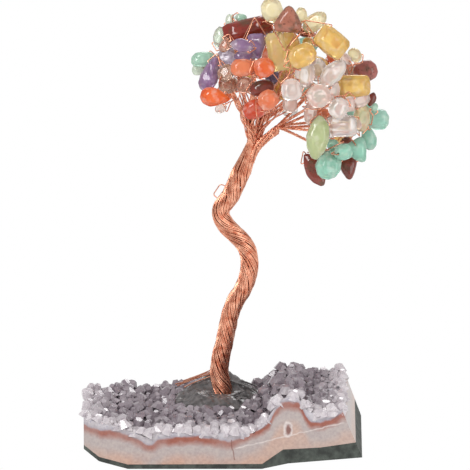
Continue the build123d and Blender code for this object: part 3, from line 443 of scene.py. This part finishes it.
def bough_lines():
    """Points along each bough: wound together along its limb, then out to the bough's own tip."""
    pitch = 2 * sizes().bough_radius
    lines = {}
    for limb, rows in limb_rows().items():
        knot = rows[-1]
        tips = bough_tips(limb)
        names = sorted(tips, key=lambda name: -(tips[name] - knot[0]).normalized().dot(knot[1]))
        slots = even_slots([bearing(knot, tips[name]) for name in names[1:]])
        lines[names[0]] = [row[0] for row in rows] + [tips[names[0]]]
        for name, slot in zip(names[1:], slots):
            turns = [slot + LIMB_TURN_SHARE * math.tau * (1 - k / LIMB_STEPS) for k in range(LIMB_STEPS + 1)]
            lines[name] = [at_bearing(row, pitch, turn) for row, turn in zip(rows, turns)] + [tips[name]]
    return lines


# Objects


def deselect():
    if bpy.context.object and bpy.context.object.mode != "OBJECT":
        bpy.ops.object.mode_set(mode="OBJECT")
    bpy.ops.object.select_all(action="DESELECT")


def make_active(obj):
    deselect()
    obj.select_set(True)
    bpy.context.view_layer.objects.active = obj


def apply_modifier(obj, kind, **values):
    modifier = obj.modifiers.new(kind.title(), kind)
    for key, value in values.items():
        setattr(modifier, key, value)
    make_active(obj)
    bpy.ops.object.modifier_apply(modifier=modifier.name)


def merged_copy(node, name):
    """Copy of a CAD node's mesh with its doubled points merged."""
    source = frame["nodes"][node]
    obj = bpy.data.objects.new(name, source.data.copy())
    bpy.context.scene.collection.objects.link(obj)
    obj.data.materials.clear()
    make_active(obj)
    bpy.ops.object.mode_set(mode="EDIT")
    bpy.ops.mesh.select_all(action="SELECT")
    bpy.ops.mesh.remove_doubles(threshold=0.002 * MM)
    bpy.ops.mesh.normals_make_consistent(inside=False)
    bpy.ops.object.mode_set(mode="OBJECT")
    return obj


def wires(name, lines, radius):
    """One object of round wires along lines of points."""
    deselect()
    bpy.ops.curve.primitive_nurbs_path_add(location=(0, 0, 0))
    obj = bpy.context.object
    obj.data.splines.clear()
    for line in lines:
        spline = obj.data.splines.new("POLY")
        spline.points.add(len(line) - 1)
        for point, place in zip(spline.points, line):
            point.co = (*place, 1)
    obj.data.bevel_depth = radius
    obj.data.bevel_resolution = 1
    obj.data.use_fill_caps = True
    bpy.ops.object.convert(target="MESH")
    bpy.ops.object.shade_smooth()
    obj = bpy.context.object
    obj.name = name
    obj.data.name = name
    return obj


def finished(obj, material, body, slot, *nodes):
    """Gives a piece its material and body, and hides the CAD nodes that it stands for; slot is not used."""
    obj.data.materials.clear()
    obj.data.materials.append(material)
    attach(obj, body)
    if nodes:
        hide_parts(*nodes)


def painted(node, material):
    """Gives a CAD node its looks."""
    mesh = frame["nodes"][node].data
    mesh.materials.clear()
    mesh.materials.append(material)


# Materials


class Shader:
    """Node tree of a new material, with short ways to add to it."""

    def __init__(self, name, **values):
        self.material = bpy.data.materials.new(name)
        self.material.use_nodes = True
        self.tree = self.material.node_tree
        self.bsdf = self.tree.nodes["Principled BSDF"]
        self.place = self.node("ShaderNodeTexCoord").outputs["Object"]
        for key, value in values.items():
            self.bsdf.inputs[key.replace("_", " ")].default_value = value

    def node(self, kind, **values):
        made = self.tree.nodes.new(kind)
        for key, value in values.items():
            setattr(made, key, value)
        return made

    def put(self, socket, value):
        if isinstance(value, bpy.types.NodeSocket):
            self.tree.links.new(value, socket)
        elif hasattr(value, "__len__") and socket.type == "RGBA":
            socket.default_value = (*value, 1)
        else:
            socket.default_value = value

    def noise(self, scale, detail=3.0, place=None):
        made = self.node("ShaderNodeTexNoise")
        self.put(made.inputs["Vector"], place or self.place)
        made.inputs["Scale"].default_value = scale
        made.inputs["Detail"].default_value = detail
        return made.outputs["Fac"]

    def ramp(self, value, *stops):
        made = self.node("ShaderNodeValToRGB")
        elements = made.color_ramp.elements
        while len(elements) < len(stops):
            elements.new(0.5)
        for element, (place, tone) in zip(elements, stops):
            element.position = place
            element.color = (*tone, 1)
        self.put(made.inputs["Fac"], value)
        return made.outputs["Color"]

    def sum(self, first, second, operation="ADD"):
        made = self.node("ShaderNodeMath", operation=operation)
        self.put(made.inputs[0], first)
        self.put(made.inputs[1], second)
        return made.outputs[0]

    def spread(self, value, low, high, to_low=0.0, to_high=1.0):
        made = self.node("ShaderNodeMapRange")
        for key, number in (("Value", value), ("From Min", low), ("From Max", high), ("To Min", to_low),
                            ("To Max", to_high)):
            self.put(made.inputs[key], number)
        return made.outputs["Result"]

    def mix(self, factor, first, second, blend="MIX"):
        made = self.node("ShaderNodeMix", data_type="RGBA", blend_type=blend)
        self.put(made.inputs["Factor"], factor)
        self.put(made.inputs[6], first)
        self.put(made.inputs[7], second)
        return made.outputs[2]

    def axes(self):
        """Outputs of a node that splits the place on the object into X, Y and Z."""
        made = self.node("ShaderNodeSeparateXYZ")
        self.put(made.inputs[0], self.place)
        return made.outputs

    def curve(self, value, places, top):
        """Smooth curve through places, each a value and a height up to top."""
        left, right = places[0][0], places[-1][0]
        made = self.node("ShaderNodeFloatCurve")
        points = made.mapping.curves[0].points
        points[0].location = (0, places[0][1] / top)
        points[1].location = (1, places[-1][1] / top)
        for place, height in places[1:-1]:
            points.new((place - left) / (right - left), height / top)
        made.mapping.update()
        self.put(made.inputs["Value"], self.spread(value, left, right))
        return self.sum(made.outputs["Value"], top, "MULTIPLY")

    def cells(self, scale):
        """Random grey of the cells that space is split into."""
        made = self.node("ShaderNodeTexVoronoi")
        self.put(made.inputs["Vector"], self.place)
        made.inputs["Scale"].default_value = scale
        split = self.node("ShaderNodeSeparateXYZ")
        self.put(split.inputs[0], made.outputs["Color"])
        return split.outputs[0]

    def away(self, centre, reach):
        """Distance from a centre, in shares of a reach along each axis."""
        offset = self.node("ShaderNodeVectorMath", operation="SUBTRACT")
        self.put(offset.inputs[0], self.place)
        offset.inputs[1].default_value = centre
        scaled = self.node("ShaderNodeVectorMath", operation="DIVIDE")
        self.put(scaled.inputs[0], offset.outputs[0])
        scaled.inputs[1].default_value = reach
        size = self.node("ShaderNodeVectorMath", operation="LENGTH")
        self.put(size.inputs[0], scaled.outputs[0])
        return size.outputs["Value"]

    def bump(self, height, strength, distance):
        made = self.node("ShaderNodeBump")
        made.inputs["Strength"].default_value = strength
        made.inputs["Distance"].default_value = distance
        self.put(made.inputs["Height"], height)
        self.put(self.bsdf.inputs["Normal"], made.outputs["Normal"])


def copper():
    found = bpy.data.materials.get("copper_wire_look")
    if found:
        return found
    c = colours()
    shader = Shader("copper_wire_look", Metallic=1.0)
    tone = shader.ramp(shader.noise(420), (0.32, tuple(c.copper_dark)), (0.68, tuple(c.copper_light)))
    shader.put(shader.bsdf.inputs["Base Color"], tone)
    shader.put(shader.bsdf.inputs["Roughness"], shader.spread(shader.noise(900), 0.3, 0.7, 0.18, 0.3))
    return shader.material


def gem(stone):
    """Polished stone whose tint is stored on the chips' points."""
    c = colours()
    clear = STONES[stone][1]
    shader = Shader(f"{stone}_look", Roughness=0.07, IOR=1.54, Transmission_Weight=clear)
    tint = shader.node("ShaderNodeAttribute", attribute_name="tint").outputs["Color"]
    clouds = shader.spread(shader.noise(260, 4.0), 0.3, 0.7)
    shade = shader.mix(0.4, tint, tint, "MULTIPLY")
    tone = shader.mix(clouds, shade, tint)
    if "jasper" in stone:
        patches = shader.ramp(shader.noise(300, 3.0), (0.5, BLACK), (0.66, (0.7, 0.7, 0.7)))
        tone = shader.mix(patches, tone, tuple(c.jasper_patch))
        specks = shader.ramp(shader.noise(1500, 1.0), (0.62, BLACK), (0.7, (0.6, 0.6, 0.6)))
        tone = shader.mix(specks, tone, tuple(c.jasper_speck))
    else:
        veils = shader.ramp(shader.noise(360, 3.0), (0.5, BLACK), (0.8, (0.5, 0.5, 0.5)))
        tone = shader.mix(veils, tone, tuple(c.veil))
    shader.put(shader.bsdf.inputs["Base Color"], tone)
    return shader.material


def off_middle(shader, axes):
    """Distance across from the middle of the stone."""
    low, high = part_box("quartz_crust")
    return shader.sum(shader.sum(axes["X"], (low.x + high.x) / 2, "SUBTRACT"), 0.0, "ABSOLUTE")


def band_height(shader, axes):
    """Height of the brown band's line, which falls to the back."""
    low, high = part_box("quartz_crust")
    front = shader.curve(axes["X"], [on_front(*pixel) for pixel in BAND_PX], BAND_TOP)
    falls = [(on_front(column, 0)[0], share * BACK_FALL) for column, share in BACK_FALL_SHARES]
    fall = shader.curve(axes["X"], falls, BACK_FALL)
    back = shader.spread(axes["Y"], low.y, high.y)
    return shader.sum(front, shader.sum(fall, back, "MULTIPLY"), "SUBTRACT")


def inside_edges(shader, axes):
    """One inside the stone's edges and zero at its front, back and ends."""
    low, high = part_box("quartz_crust")
    near, far = EDGE
    front = shader.spread(axes["Y"], low.y + near, low.y + far)
    back = shader.spread(axes["Y"], high.y - far, high.y - near, 1.0, 0.0)
    ends = shader.spread(off_middle(shader, axes), *ENDS, 1.0, 0.0)
    return shader.sum(shader.sum(front, back, "MULTIPLY"), ends, "MULTIPLY")


def geode():
    """Banded agate below a pale layer and grey crust, along the band's line."""
    c = colours()
    names = ("peach", "chalcedony", "band", "layer_edge", "lilac", "crust")
    peach, grey, brown, edge, lilac, crust = [tuple(getattr(c, name)) for name in names]
    shader = Shader("banded_geode_look", Roughness=0.3)
    axes = shader.axes()
    wave = shader.spread(shader.noise(260, 8.0), 0.0, 1.0, -BAND_WAVE, BAND_WAVE)
    above = shader.sum(shader.sum(axes["Z"], band_height(shader, axes), "SUBTRACT"), wave)
    tone = shader.ramp(shader.spread(above, *LAYERS), (0.0, peach), (0.3, peach), (0.46, grey), (0.56, grey),
                       (0.66, brown), (0.7, brown), (0.735, edge), (0.79, lilac), (0.9, lilac), (0.97, crust))
    foot = shader.spread(axes["Z"], *PATCHES, 0.85, 0.0)
    patchy = shader.sum(foot, shader.spread(shader.noise(120, 4.0), 0.35, 0.65), "MULTIPLY")
    tone = shader.mix(patchy, tone, tuple(c.salmon))
    veil = shader.ramp(shader.noise(95, 5.0), (0.42, BLACK), (0.62, (0.6, 0.6, 0.6)))
    tone = shader.mix(veil, tone, shader.mix(0.5, tone, grey))
    specks = shader.ramp(shader.noise(1300, 2.0), (0.56, BLACK), (0.64, (0.7, 0.7, 0.7)))
    speckled = shader.sum(specks, shader.spread(above, *SPECKS), "MULTIPLY")
    tone = with_cracks(shader, axes, shader.mix(speckled, tone, tuple(c.speck)))
    tone = shader.mix(inside_edges(shader, axes), tone, crust)
    grain = shader.ramp(shader.noise(1100, 5.0), (0.3, (0.7, 0.68, 0.72)), (0.66, WHITE))
    shader.put(shader.bsdf.inputs["Base Color"], shader.mix(0.6, tone, grain, "MULTIPLY"))
    shader.bump(shader.noise(500, 5.0), 0.3, 0.4 * MM)
    return shader.material


def with_cracks(shader, axes, tone):
    """Adds the ringed nodule and the two cracks of the sawn face to a tone."""
    c = colours()
    white, brown = tuple(c.ring), tuple(c.seam)
    x, z = on_front(*NODULE_PX)
    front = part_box("quartz_crust")[0].y
    ring = shader.away((x, front, z), NODULE_REACH)
    ring = shader.sum(ring, shader.spread(shader.noise(420, 4.0), 0.0, 1.0, -0.45, 0.45))
    tone = shader.mix(shader.ramp(ring, (0.75, (0.8, 0.8, 0.8)), (1.2, BLACK)), tone, white)
    tone = shader.mix(shader.ramp(ring, (0.35, (0.9, 0.9, 0.9)), (0.68, BLACK)), tone, brown)
    wobble = shader.spread(shader.noise(300), 0.0, 1.0, -CRACK_WOBBLE, CRACK_WOBBLE)
    for first, second, width, shade in ((*CRACK_PX, CRACK_WIDTH, white), (*SEAM_PX, SEAM_WIDTH, brown)):
        start, end = Vector(on_front(*first)), Vector(on_front(*second))
        run = (end - start).normalized()
        spot = (start + end) / 2
        half = (end - start).length / 2
        across = [shader.sum(shader.sum(axes["X"], spot.x, "SUBTRACT"), run.y, "MULTIPLY"),
                  shader.sum(shader.sum(axes["Z"], spot.y, "SUBTRACT"), run.x, "MULTIPLY")]
        gap = shader.sum(shader.sum(shader.sum(*across, "SUBTRACT"), wobble), 0.0, "ABSOLUTE")
        near = shader.away((spot.x, front, spot.y), (half, FACE_DEPTH, half))
        ends = shader.spread(near, 0.95, 1.0, 1.0, 0.0)
        mask = shader.sum(shader.spread(gap, 0.0, width, 0.8, 0.0), ends, "MULTIPLY")
        tone = shader.mix(mask, tone, shade)
    return tone


def druse():
    """Glassy crystals, pale at the front rim and the ends and dark in the middle."""
    c = colours()
    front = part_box("quartz_crust")[0].y
    shader = Shader("druse_look", Roughness=0.12, IOR=1.54, Transmission_Weight=0.3)
    axes = shader.axes()
    rim = shader.spread(axes["Y"], *[front + inset for inset in PALE_RIM], 1.0, 0.0)
    ends = shader.spread(off_middle(shader, axes), *PALE_ENDS)
    stray = shader.spread(shader.cells(300), 0.0, 1.0, -0.28, 0.34)
    pale = shader.sum(shader.sum(rim, ends, "MAXIMUM"), stray)
    tone = shader.ramp(pale, (0.0, tuple(c.crystal_dark)), (1.0, tuple(c.crystal_light)))
    clouds = shader.ramp(shader.noise(700, 3.0), (0.35, (0.75, 0.72, 0.76)), (0.6, WHITE))
    shader.put(shader.bsdf.inputs["Base Color"], shader.mix(0.7, tone, clouds, "MULTIPLY"))
    return shader.material


def mottled(name, scale, dark, light, **values):
    """Plain material that varies between two colours."""
    shader = Shader(name, **values)
    tone = shader.ramp(shader.noise(scale, 4.0), (0.35, tuple(dark)), (0.68, tuple(light)))
    shader.put(shader.bsdf.inputs["Base Color"], tone)
    return shader


# Operators


class GEMTREE_OT_stone_base(bpy.types.Operator):
    """Paints the slab, the crust and the rind of the geode"""
    bl_idname = "gemtree.stone_base"
    bl_label = "Stone Base"

    def execute(self, context):
        stone = geode()
        painted("agate_slab", stone)
        painted("quartz_crust", stone)
        c = colours()
        dark, light = [v * 0.5 for v in c.rind], [v * 1.6 for v in c.rind]
        rind = mottled("rock_rind_look", 350, dark, light, Roughness=0.7)
        rind.bump(rind.noise(600), 0.5, 0.5 * MM)
        painted("rock_rind", rind.material)
        return {"FINISHED"}


class GEMTREE_OT_druse(bpy.types.Operator):
    """Grows the crystals of the druse"""
    bl_idname = "gemtree.druse"
    bl_label = "Druse Crystals"

    def execute(self, context):
        s = sizes()
        low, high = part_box("quartz_crust")
        pad_low, pad_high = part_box("glue_pad")
        middle, half = (pad_low + pad_high) / 2, (pad_high - pad_low) / 2
        chance = random.Random(5)
        deselect()
        bpy.ops.mesh.primitive_cone_add(vertices=6, radius1=MM, depth=MM, location=(0, 0, low.z))
        obj = context.object
        obj.name = "druse_crystals"
        obj.data.name = obj.name
        bpy.ops.object.transform_apply(location=True, rotation=True, scale=True)
        bpy.ops.object.mode_set(mode="EDIT")
        bpy.ops.mesh.delete(type="VERT")
        rows = int((high.y - low.y) / s.crystal_pitch)
        columns = int((high.x - low.x) / s.crystal_pitch)
        for row in range(rows + 1):
            for column in range(columns + 1):
                x = low.x + (column + chance.uniform(*CRYSTAL_SHIFT_SHARES)) * s.crystal_pitch
                y = low.y + (row + chance.uniform(*CRYSTAL_SHIFT_SHARES)) * s.crystal_pitch
                size = chance.uniform(*CRYSTAL_SIZES)
                spot = math.hypot((x - middle.x) / half.x, (y - middle.y) / half.y)
                if spot > PAD_CLEAR_SHARE:
                    self.crystal(x, y, size, chance)
        for column in range(int((high.x - low.x) / s.rim_pitch)):
            x = low.x + (column + chance.uniform(*RIM_SHIFT_SHARES)) * s.rim_pitch
            self.crystal(x, low.y + chance.uniform(*RIM_INSET) * MM, chance.uniform(*RIM_SIZES), chance)
        bpy.ops.mesh.select_all(action="SELECT")
        bpy.ops.object.mode_set(mode="OBJECT")
        finished(obj, druse(), ROOT, "druse", "amethyst_points")
        return {"FINISHED"}

    def crystal(self, x, y, size, chance):
        """Adds one blunt crystal to the mesh in edit mode, where the crust has its top."""
        s = sizes()
        sides = chance.choice(CRYSTAL_SIDES)
        lean = [chance.uniform(-CRYSTAL_TILT, CRYSTAL_TILT) for axis in range(2)]
        tilt = (*lean, chance.uniform(0, math.tau))
        blunt = chance.uniform(*BLUNT_SHARES)
        crust = frame["nodes"]["quartz_crust"]
        hit, place, normal, face = crust.ray_cast(Vector((x, y, 1.0)), Vector((0, 0, -1)))
        if hit and normal.z > STEEP:
            radius = CRYSTAL_RADIUS_SHARE * s.crystal_pitch * size
            height = s.crystal_height * size
            middle = place + Vector((0, 0, CRYSTAL_LIFT_SHARE * height))
            bpy.ops.mesh.primitive_cone_add(vertices=sides, radius1=radius, radius2=blunt * radius,
                                            depth=height, location=middle, rotation=tilt)


class GEMTREE_OT_glue_pad(bpy.types.Operator):
    """Shapes the lumpy pad of dark glue at the foot of the trunk"""
    bl_idname = "gemtree.glue_pad"
    bl_label = "Glue Pad"

    def execute(self, context):
        c = colours()
        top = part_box("glue_pad")[1].z
        obj = merged_copy("glue_pad", "glue_pad_lumps")
        deselect()
        x, y, lift = MOUND_PLACE
        bpy.ops.mesh.primitive_cone_add(vertices=24, radius1=MOUND_RADIUS, radius2=MOUND_TOP_RADIUS,
                                        depth=MOUND_HEIGHT, location=(x, y, top + lift), scale=MOUND_STRETCH)
        bpy.ops.object.transform_apply(location=True, rotation=True, scale=True)
        obj.select_set(True)
        context.view_layer.objects.active = obj
        bpy.ops.object.join()
        apply_modifier(obj, "REMESH", mode="VOXEL", voxel_size=PAD_VOXEL)
        apply_modifier(obj, "SMOOTH", factor=0.5, iterations=4)
        lumps = bpy.data.textures.new("glue_lumps", "CLOUDS")
        lumps.noise_scale = LUMP_SCALE
        apply_modifier(obj, "DISPLACE", texture=lumps, texture_coords="LOCAL", strength=LUMP_HEIGHT)
        bpy.ops.object.shade_smooth()
        dark, light = [v * 0.6 for v in c.glue], [v * 1.7 for v in c.glue]
        look = mottled("glue_look", 500, dark, light, Roughness=0.22)
        look.bump(look.noise(900), 0.35, 0.4 * MM)
        finished(obj, look.material, ROOT, "glue", "glue_pad")
        return {"FINISHED"}


class GEMTREE_OT_trunk(bpy.types.Operator):
    """Winds the wires of the trunk"""
    bl_idname = "gemtree.trunk"
    bl_label = "Trunk"

    def execute(self, context):
        s = sizes()
        last = int(FORK_SHARE * TRUNK_STEPS)
        rows = trunk_rows(TRUNK_STEPS)
        limbs = limb_rows()
        radius = math.pi * s.trunk_radius / s.trunk_wires / WIRE_PACKING
        chance = random.Random(11)
        lines = []
        for k in range(s.trunk_wires):
            phase = (k + chance.uniform(-PHASE_JITTER, PHASE_JITTER)) * math.tau / s.trunk_wires
            waves = [(chance.uniform(*WAVE_COUNTS), chance.uniform(0, math.tau)) for n in range(2)]
            line = []
            for step, row in enumerate(rows[:last]):
                along = step / TRUNK_STEPS
                stray = math.sin(waves[0][0] * math.tau * along + waves[0][1]) * s.trunk_loose
                drift = math.sin(waves[1][0] * math.tau * along + waves[1][1]) * DRIFT_TURN
                flare = s.trunk_flare * abs(2 * along - 1) ** FLARE_POWER
                reach = s.trunk_radius - radius + stray + flare
                line.append(at_bearing(row, reach, phase + drift + s.trunk_turns * math.tau * along))
            lines.append(line + self.limb_run(line, limbs, k, chance))
        obj = wires("trunk_wires", lines, radius)
        finished(obj, copper(), ROOT, "copper_wire", "trunk_strands")
        painted("trunk_core", copper())
        return {"FINISHED"}

    def limb_run(self, line, limbs, k, chance):
        """Rest of a trunk wire: wound on along the nearest limb and fanned out with its boughs."""
        s = sizes()
        limb = min(limbs, key=lambda name: (limbs[name][2][0] - line[-1]).length)
        rows = limbs[limb]
        turn = bearing(rows[2], line[-1])
        kept = rows[3:chance.choice(LEAVE_ROWS)]
        run = [at_bearing(row, s.limb_radius, turn - STATION_TURN_SHARE * math.tau * n)
               for n, row in enumerate(kept, 1)]
        leave = run[-1]
        tips = list(bough_tips(limb).values())
        tip = tips[k % len(tips)]
        for along in (*FAN_SHARES, chance.uniform(*FAN_END_SHARES)):
            stray = Vector([chance.uniform(-FAN_STRAY, FAN_STRAY) * MM for axis in range(3)])
            run.append(leave + (tip - leave) * along + stray)
        return smooth_line(line[-2:] + run, 5)[6:]


class GEMTREE_OT_boughs(bpy.types.Operator):
    """Twists the wires of the boughs of each limb"""
    bl_idname = "gemtree.boughs"
    bl_label = "Boughs"

    def execute(self, context):
        s = sizes()
        bundles = {limb: [] for limb in LIMBS}
        for name, line in bough_lines().items():
            steps = max(12, int(sum((b - a).length for a, b in zip(line, line[1:])) / BOUGH_STEP))
            rows, reach = stations(line, steps)
            for k in range(s.bough_wires):
                turns = [math.tau * (k / s.bough_wires - reach * step / steps / s.bough_pitch)
                         for step in range(steps + 1)]
                bundles[BOUGHS[name][0]].append(
                    [at_bearing(row, s.bough_radius - s.wire_radius, turn) for row, turn in zip(rows, turns)])
        for limb, lines in bundles.items():
            obj = wires(f"{limb}_bough_wires", lines, s.wire_radius)
            finished(obj, copper(), ROOT, "copper_wire", f"{limb}_boughs")
        return {"FINISHED"}


class GEMTREE_OT_thin_wires(bpy.types.Operator):
    """Paints the twig wires and the stray loop, and lays the strands at the foot"""
    bl_idname = "gemtree.thin_wires"
    bl_label = "Thin Wires"

    def execute(self, context):
        for node in ("left_twig_wires", "middle_twig_wires", "right_twig_wires", "stray_wire_loop"):
            painted(node, copper())
        radius = sizes().wire_radius
        bare, glued = [[self.laid(strand) for strand in strands] for strands in (BARE_STRANDS, GLUED_STRANDS)]
        finished(wires("root_strands", bare, radius), copper(), ROOT, "copper_wire", "root_wires")
        glue = bpy.data.materials["glue_look"]
        finished(wires("glued_strands", glued, GLUED_WIRE_SHARE * radius), glue, ROOT, "glue")
        return {"FINISHED"}

    def laid(self, strand):
        """Smooth line of a strand that is given by pixels and depths."""
        return smooth_line([from_photo(u, v, back * MM) for u, v, back in strand], 8)


class GEMTREE_OT_chips(bpy.types.Operator):
    """Rounds and tints the gem chips"""
    bl_idname = "gemtree.chips"
    bl_label = "Gem Chips"

    def execute(self, context):
        s = sizes()
        slots = {row["node"]: row["material_slot"] for row in frame["record"]["subparts"]}
        looks = {stone: gem(stone) for stone in STONES}
        waves = bpy.data.textures.new("chip_waves", "CLOUDS")
        waves.noise_scale = WAVE_SCALE
        for node, stone in sorted(slots.items()):
            if stone not in STONES:
                continue
            obj = merged_copy(node, f"{node}_gem")
            bpy.ops.object.mode_set(mode="EDIT")
            bpy.ops.mesh.separate(type="LOOSE")
            bpy.ops.object.mode_set(mode="OBJECT")
            chips = list(context.selected_objects)
            for chip in chips:
                apply_modifier(chip, "REMESH", mode="VOXEL", voxel_size=s.chip_voxel)
                apply_modifier(chip, "SMOOTH", factor=0.5, iterations=s.chip_rounds)
                apply_modifier(chip, "DISPLACE", strength=s.chip_swell, mid_level=0)
                apply_modifier(chip, "DISPLACE", texture=waves, texture_coords="LOCAL", strength=s.chip_waves)
                self.tinted(chip, stone, node.endswith("_back"))
            deselect()
            for chip in chips:
                chip.select_set(True)
            context.view_layer.objects.active = chips[0]
            if len(chips) > 1:
                bpy.ops.object.join()
            bpy.ops.object.shade_smooth()
            obj = context.object
            obj.name = f"{node}_gem"
            obj.data.name = obj.name
            finished(obj, looks[stone], frame["nodes"][node]["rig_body"], stone, node)
        return {"FINISHED"}

    def tinted(self, chip, stone, back):
        """Stores a chip's tint on its points."""
        spots = [v.co for v in chip.data.vertices]
        middle = sum(spots, Vector()) / len(spots)
        tint = STONES[stone][0]
        pixel = to_photo(middle)
        if not back:
            near = min(OTHER_TINTS, key=lambda row: (Vector(row[:2]) - pixel).length)
            if (Vector(near[:2]) - pixel).length < TINT_REACH_PX:
                tint = near[2]
        layer = chip.data.attributes.new("tint", "FLOAT_COLOR", "POINT")
        for value in layer.data:
            value.color = (*linear(TINTS[tint]), 1)


class GEMTREE_OT_stage(bpy.types.Operator):
    """Sets up the floor, the soft studio light and the camera"""
    bl_idname = "gemtree.stage"
    bl_label = "Stage"

    def execute(self, context):
        context.scene.view_settings.view_transform = "Standard"
        deselect()
        self.floor(context)
        context.scene.world = self.studio()
        middle = Vector(VIEW_MIDDLE)
        for name, (place, size, power) in LIGHTS.items():
            bpy.ops.object.light_add(type="AREA", location=place)
            lamp = context.object
            lamp.name = name
            lamp.data.size = size
            lamp.data.energy = power
            lamp.rotation_euler = (middle - Vector(place)).to_track_quat("-Z", "Y").to_euler()
        self.camera(context, middle)
        return {"FINISHED"}

    def floor(self, context):
        """Pale floor that shows plain white to the camera."""
        bpy.ops.mesh.primitive_plane_add(size=FLOOR_SIZE, location=(0, 0, -FLOOR_DROP))
        floor = context.object
        floor.name = "floor"
        shader = Shader("floor_look", Roughness=0.9)
        tone = shader.ramp(shader.noise(3.0), (0.3, (0.86, 0.86, 0.86)), (0.7, (0.9, 0.9, 0.9)))
        shader.put(shader.bsdf.inputs["Base Color"], tone)
        glow = shader.node("ShaderNodeEmission")
        blend = shader.node("ShaderNodeMixShader")
        rays = shader.node("ShaderNodeLightPath")
        shader.put(blend.inputs[0], rays.outputs["Is Camera Ray"])
        shader.put(blend.inputs[1], shader.bsdf.outputs[0])
        shader.put(blend.inputs[2], glow.outputs[0])
        shader.put(shader.tree.nodes["Material Output"].inputs["Surface"], blend.outputs[0])
        floor.data.materials.append(shader.material)

    def studio(self):
        """World that lights softly from all round and shows plain white to the camera."""
        world = bpy.data.worlds.new("studio")
        world.use_nodes = True
        tree = world.node_tree
        soft = tree.nodes["Background"]
        plain = tree.nodes.new("ShaderNodeBackground")
        soft.inputs["Strength"].default_value = WORLD_STRENGTH
        for background in (soft, plain):
            background.inputs["Color"].default_value = (*WHITE, 1)
        blend = tree.nodes.new("ShaderNodeMixShader")
        rays = tree.nodes.new("ShaderNodeLightPath")
        tree.links.new(rays.outputs["Is Camera Ray"], blend.inputs[0])
        tree.links.new(soft.outputs[0], blend.inputs[1])
        tree.links.new(plain.outputs[0], blend.inputs[2])
        tree.links.new(blend.outputs[0], tree.nodes["World Output"].inputs["Surface"])
        return world

    def camera(self, context, middle):
        """Camera at the photo's angle, with the photo's width at the tree."""
        s = sizes()
        bpy.ops.object.camera_add()
        camera = context.object
        camera.name = "camera"
        away = Vector((0, -math.cos(s.rise), math.sin(s.rise)))
        camera.location = middle + away * VIEW_DISTANCE
        camera.rotation_euler = (-away).to_track_quat("-Z", "Y").to_euler()
        camera.data.sensor_width = 36
        camera.data.lens = camera.data.sensor_width * VIEW_DISTANCE / (PHOTO_WIDTH_PX * s.pixel)
        camera.data.clip_end = 4 * VIEW_DISTANCE
        context.scene.camera = camera


STEPS = (GEMTREE_OT_stone_base, GEMTREE_OT_druse, GEMTREE_OT_glue_pad, GEMTREE_OT_trunk, GEMTREE_OT_boughs,
         GEMTREE_OT_thin_wires, GEMTREE_OT_chips, GEMTREE_OT_stage)


class GEMTREE_PT_panel(bpy.types.Panel):
    """Lists the steps, sizes and colours of the gem tree"""
    bl_idname = "GEMTREE_PT_panel"
    bl_label = "Gem Tree"
    bl_space_type = "VIEW_3D"
    bl_region_type = "UI"
    bl_category = "Gem Tree"

    def draw(self, context):
        for step in STEPS:
            self.layout.operator(step.bl_idname)
        for group in (context.scene.gem_tree_sizes, context.scene.gem_tree_colours):
            for name in group.__annotations__:
                self.layout.prop(group, name)


CLASSES = (GemTreeSizes, GemTreeColours, *STEPS, GEMTREE_PT_panel)


def register():
    for cls in CLASSES:
        bpy.utils.register_class(cls)
    bpy.types.Scene.gem_tree_sizes = bpy.props.PointerProperty(type=GemTreeSizes)
    bpy.types.Scene.gem_tree_colours = bpy.props.PointerProperty(type=GemTreeColours)


def unregister():
    del bpy.types.Scene.gem_tree_colours
    del bpy.types.Scene.gem_tree_sizes
    for cls in reversed(CLASSES):
        bpy.utils.unregister_class(cls)


def main():
    register()
    bpy.ops.gemtree.stone_base()
    bpy.ops.gemtree.druse()
    bpy.ops.gemtree.glue_pad()
    bpy.ops.gemtree.trunk()
    bpy.ops.gemtree.boughs()
    bpy.ops.gemtree.thin_wires()
    bpy.ops.gemtree.chips()
    bpy.ops.gemtree.stage()


if __name__ == "__main__":
    main()
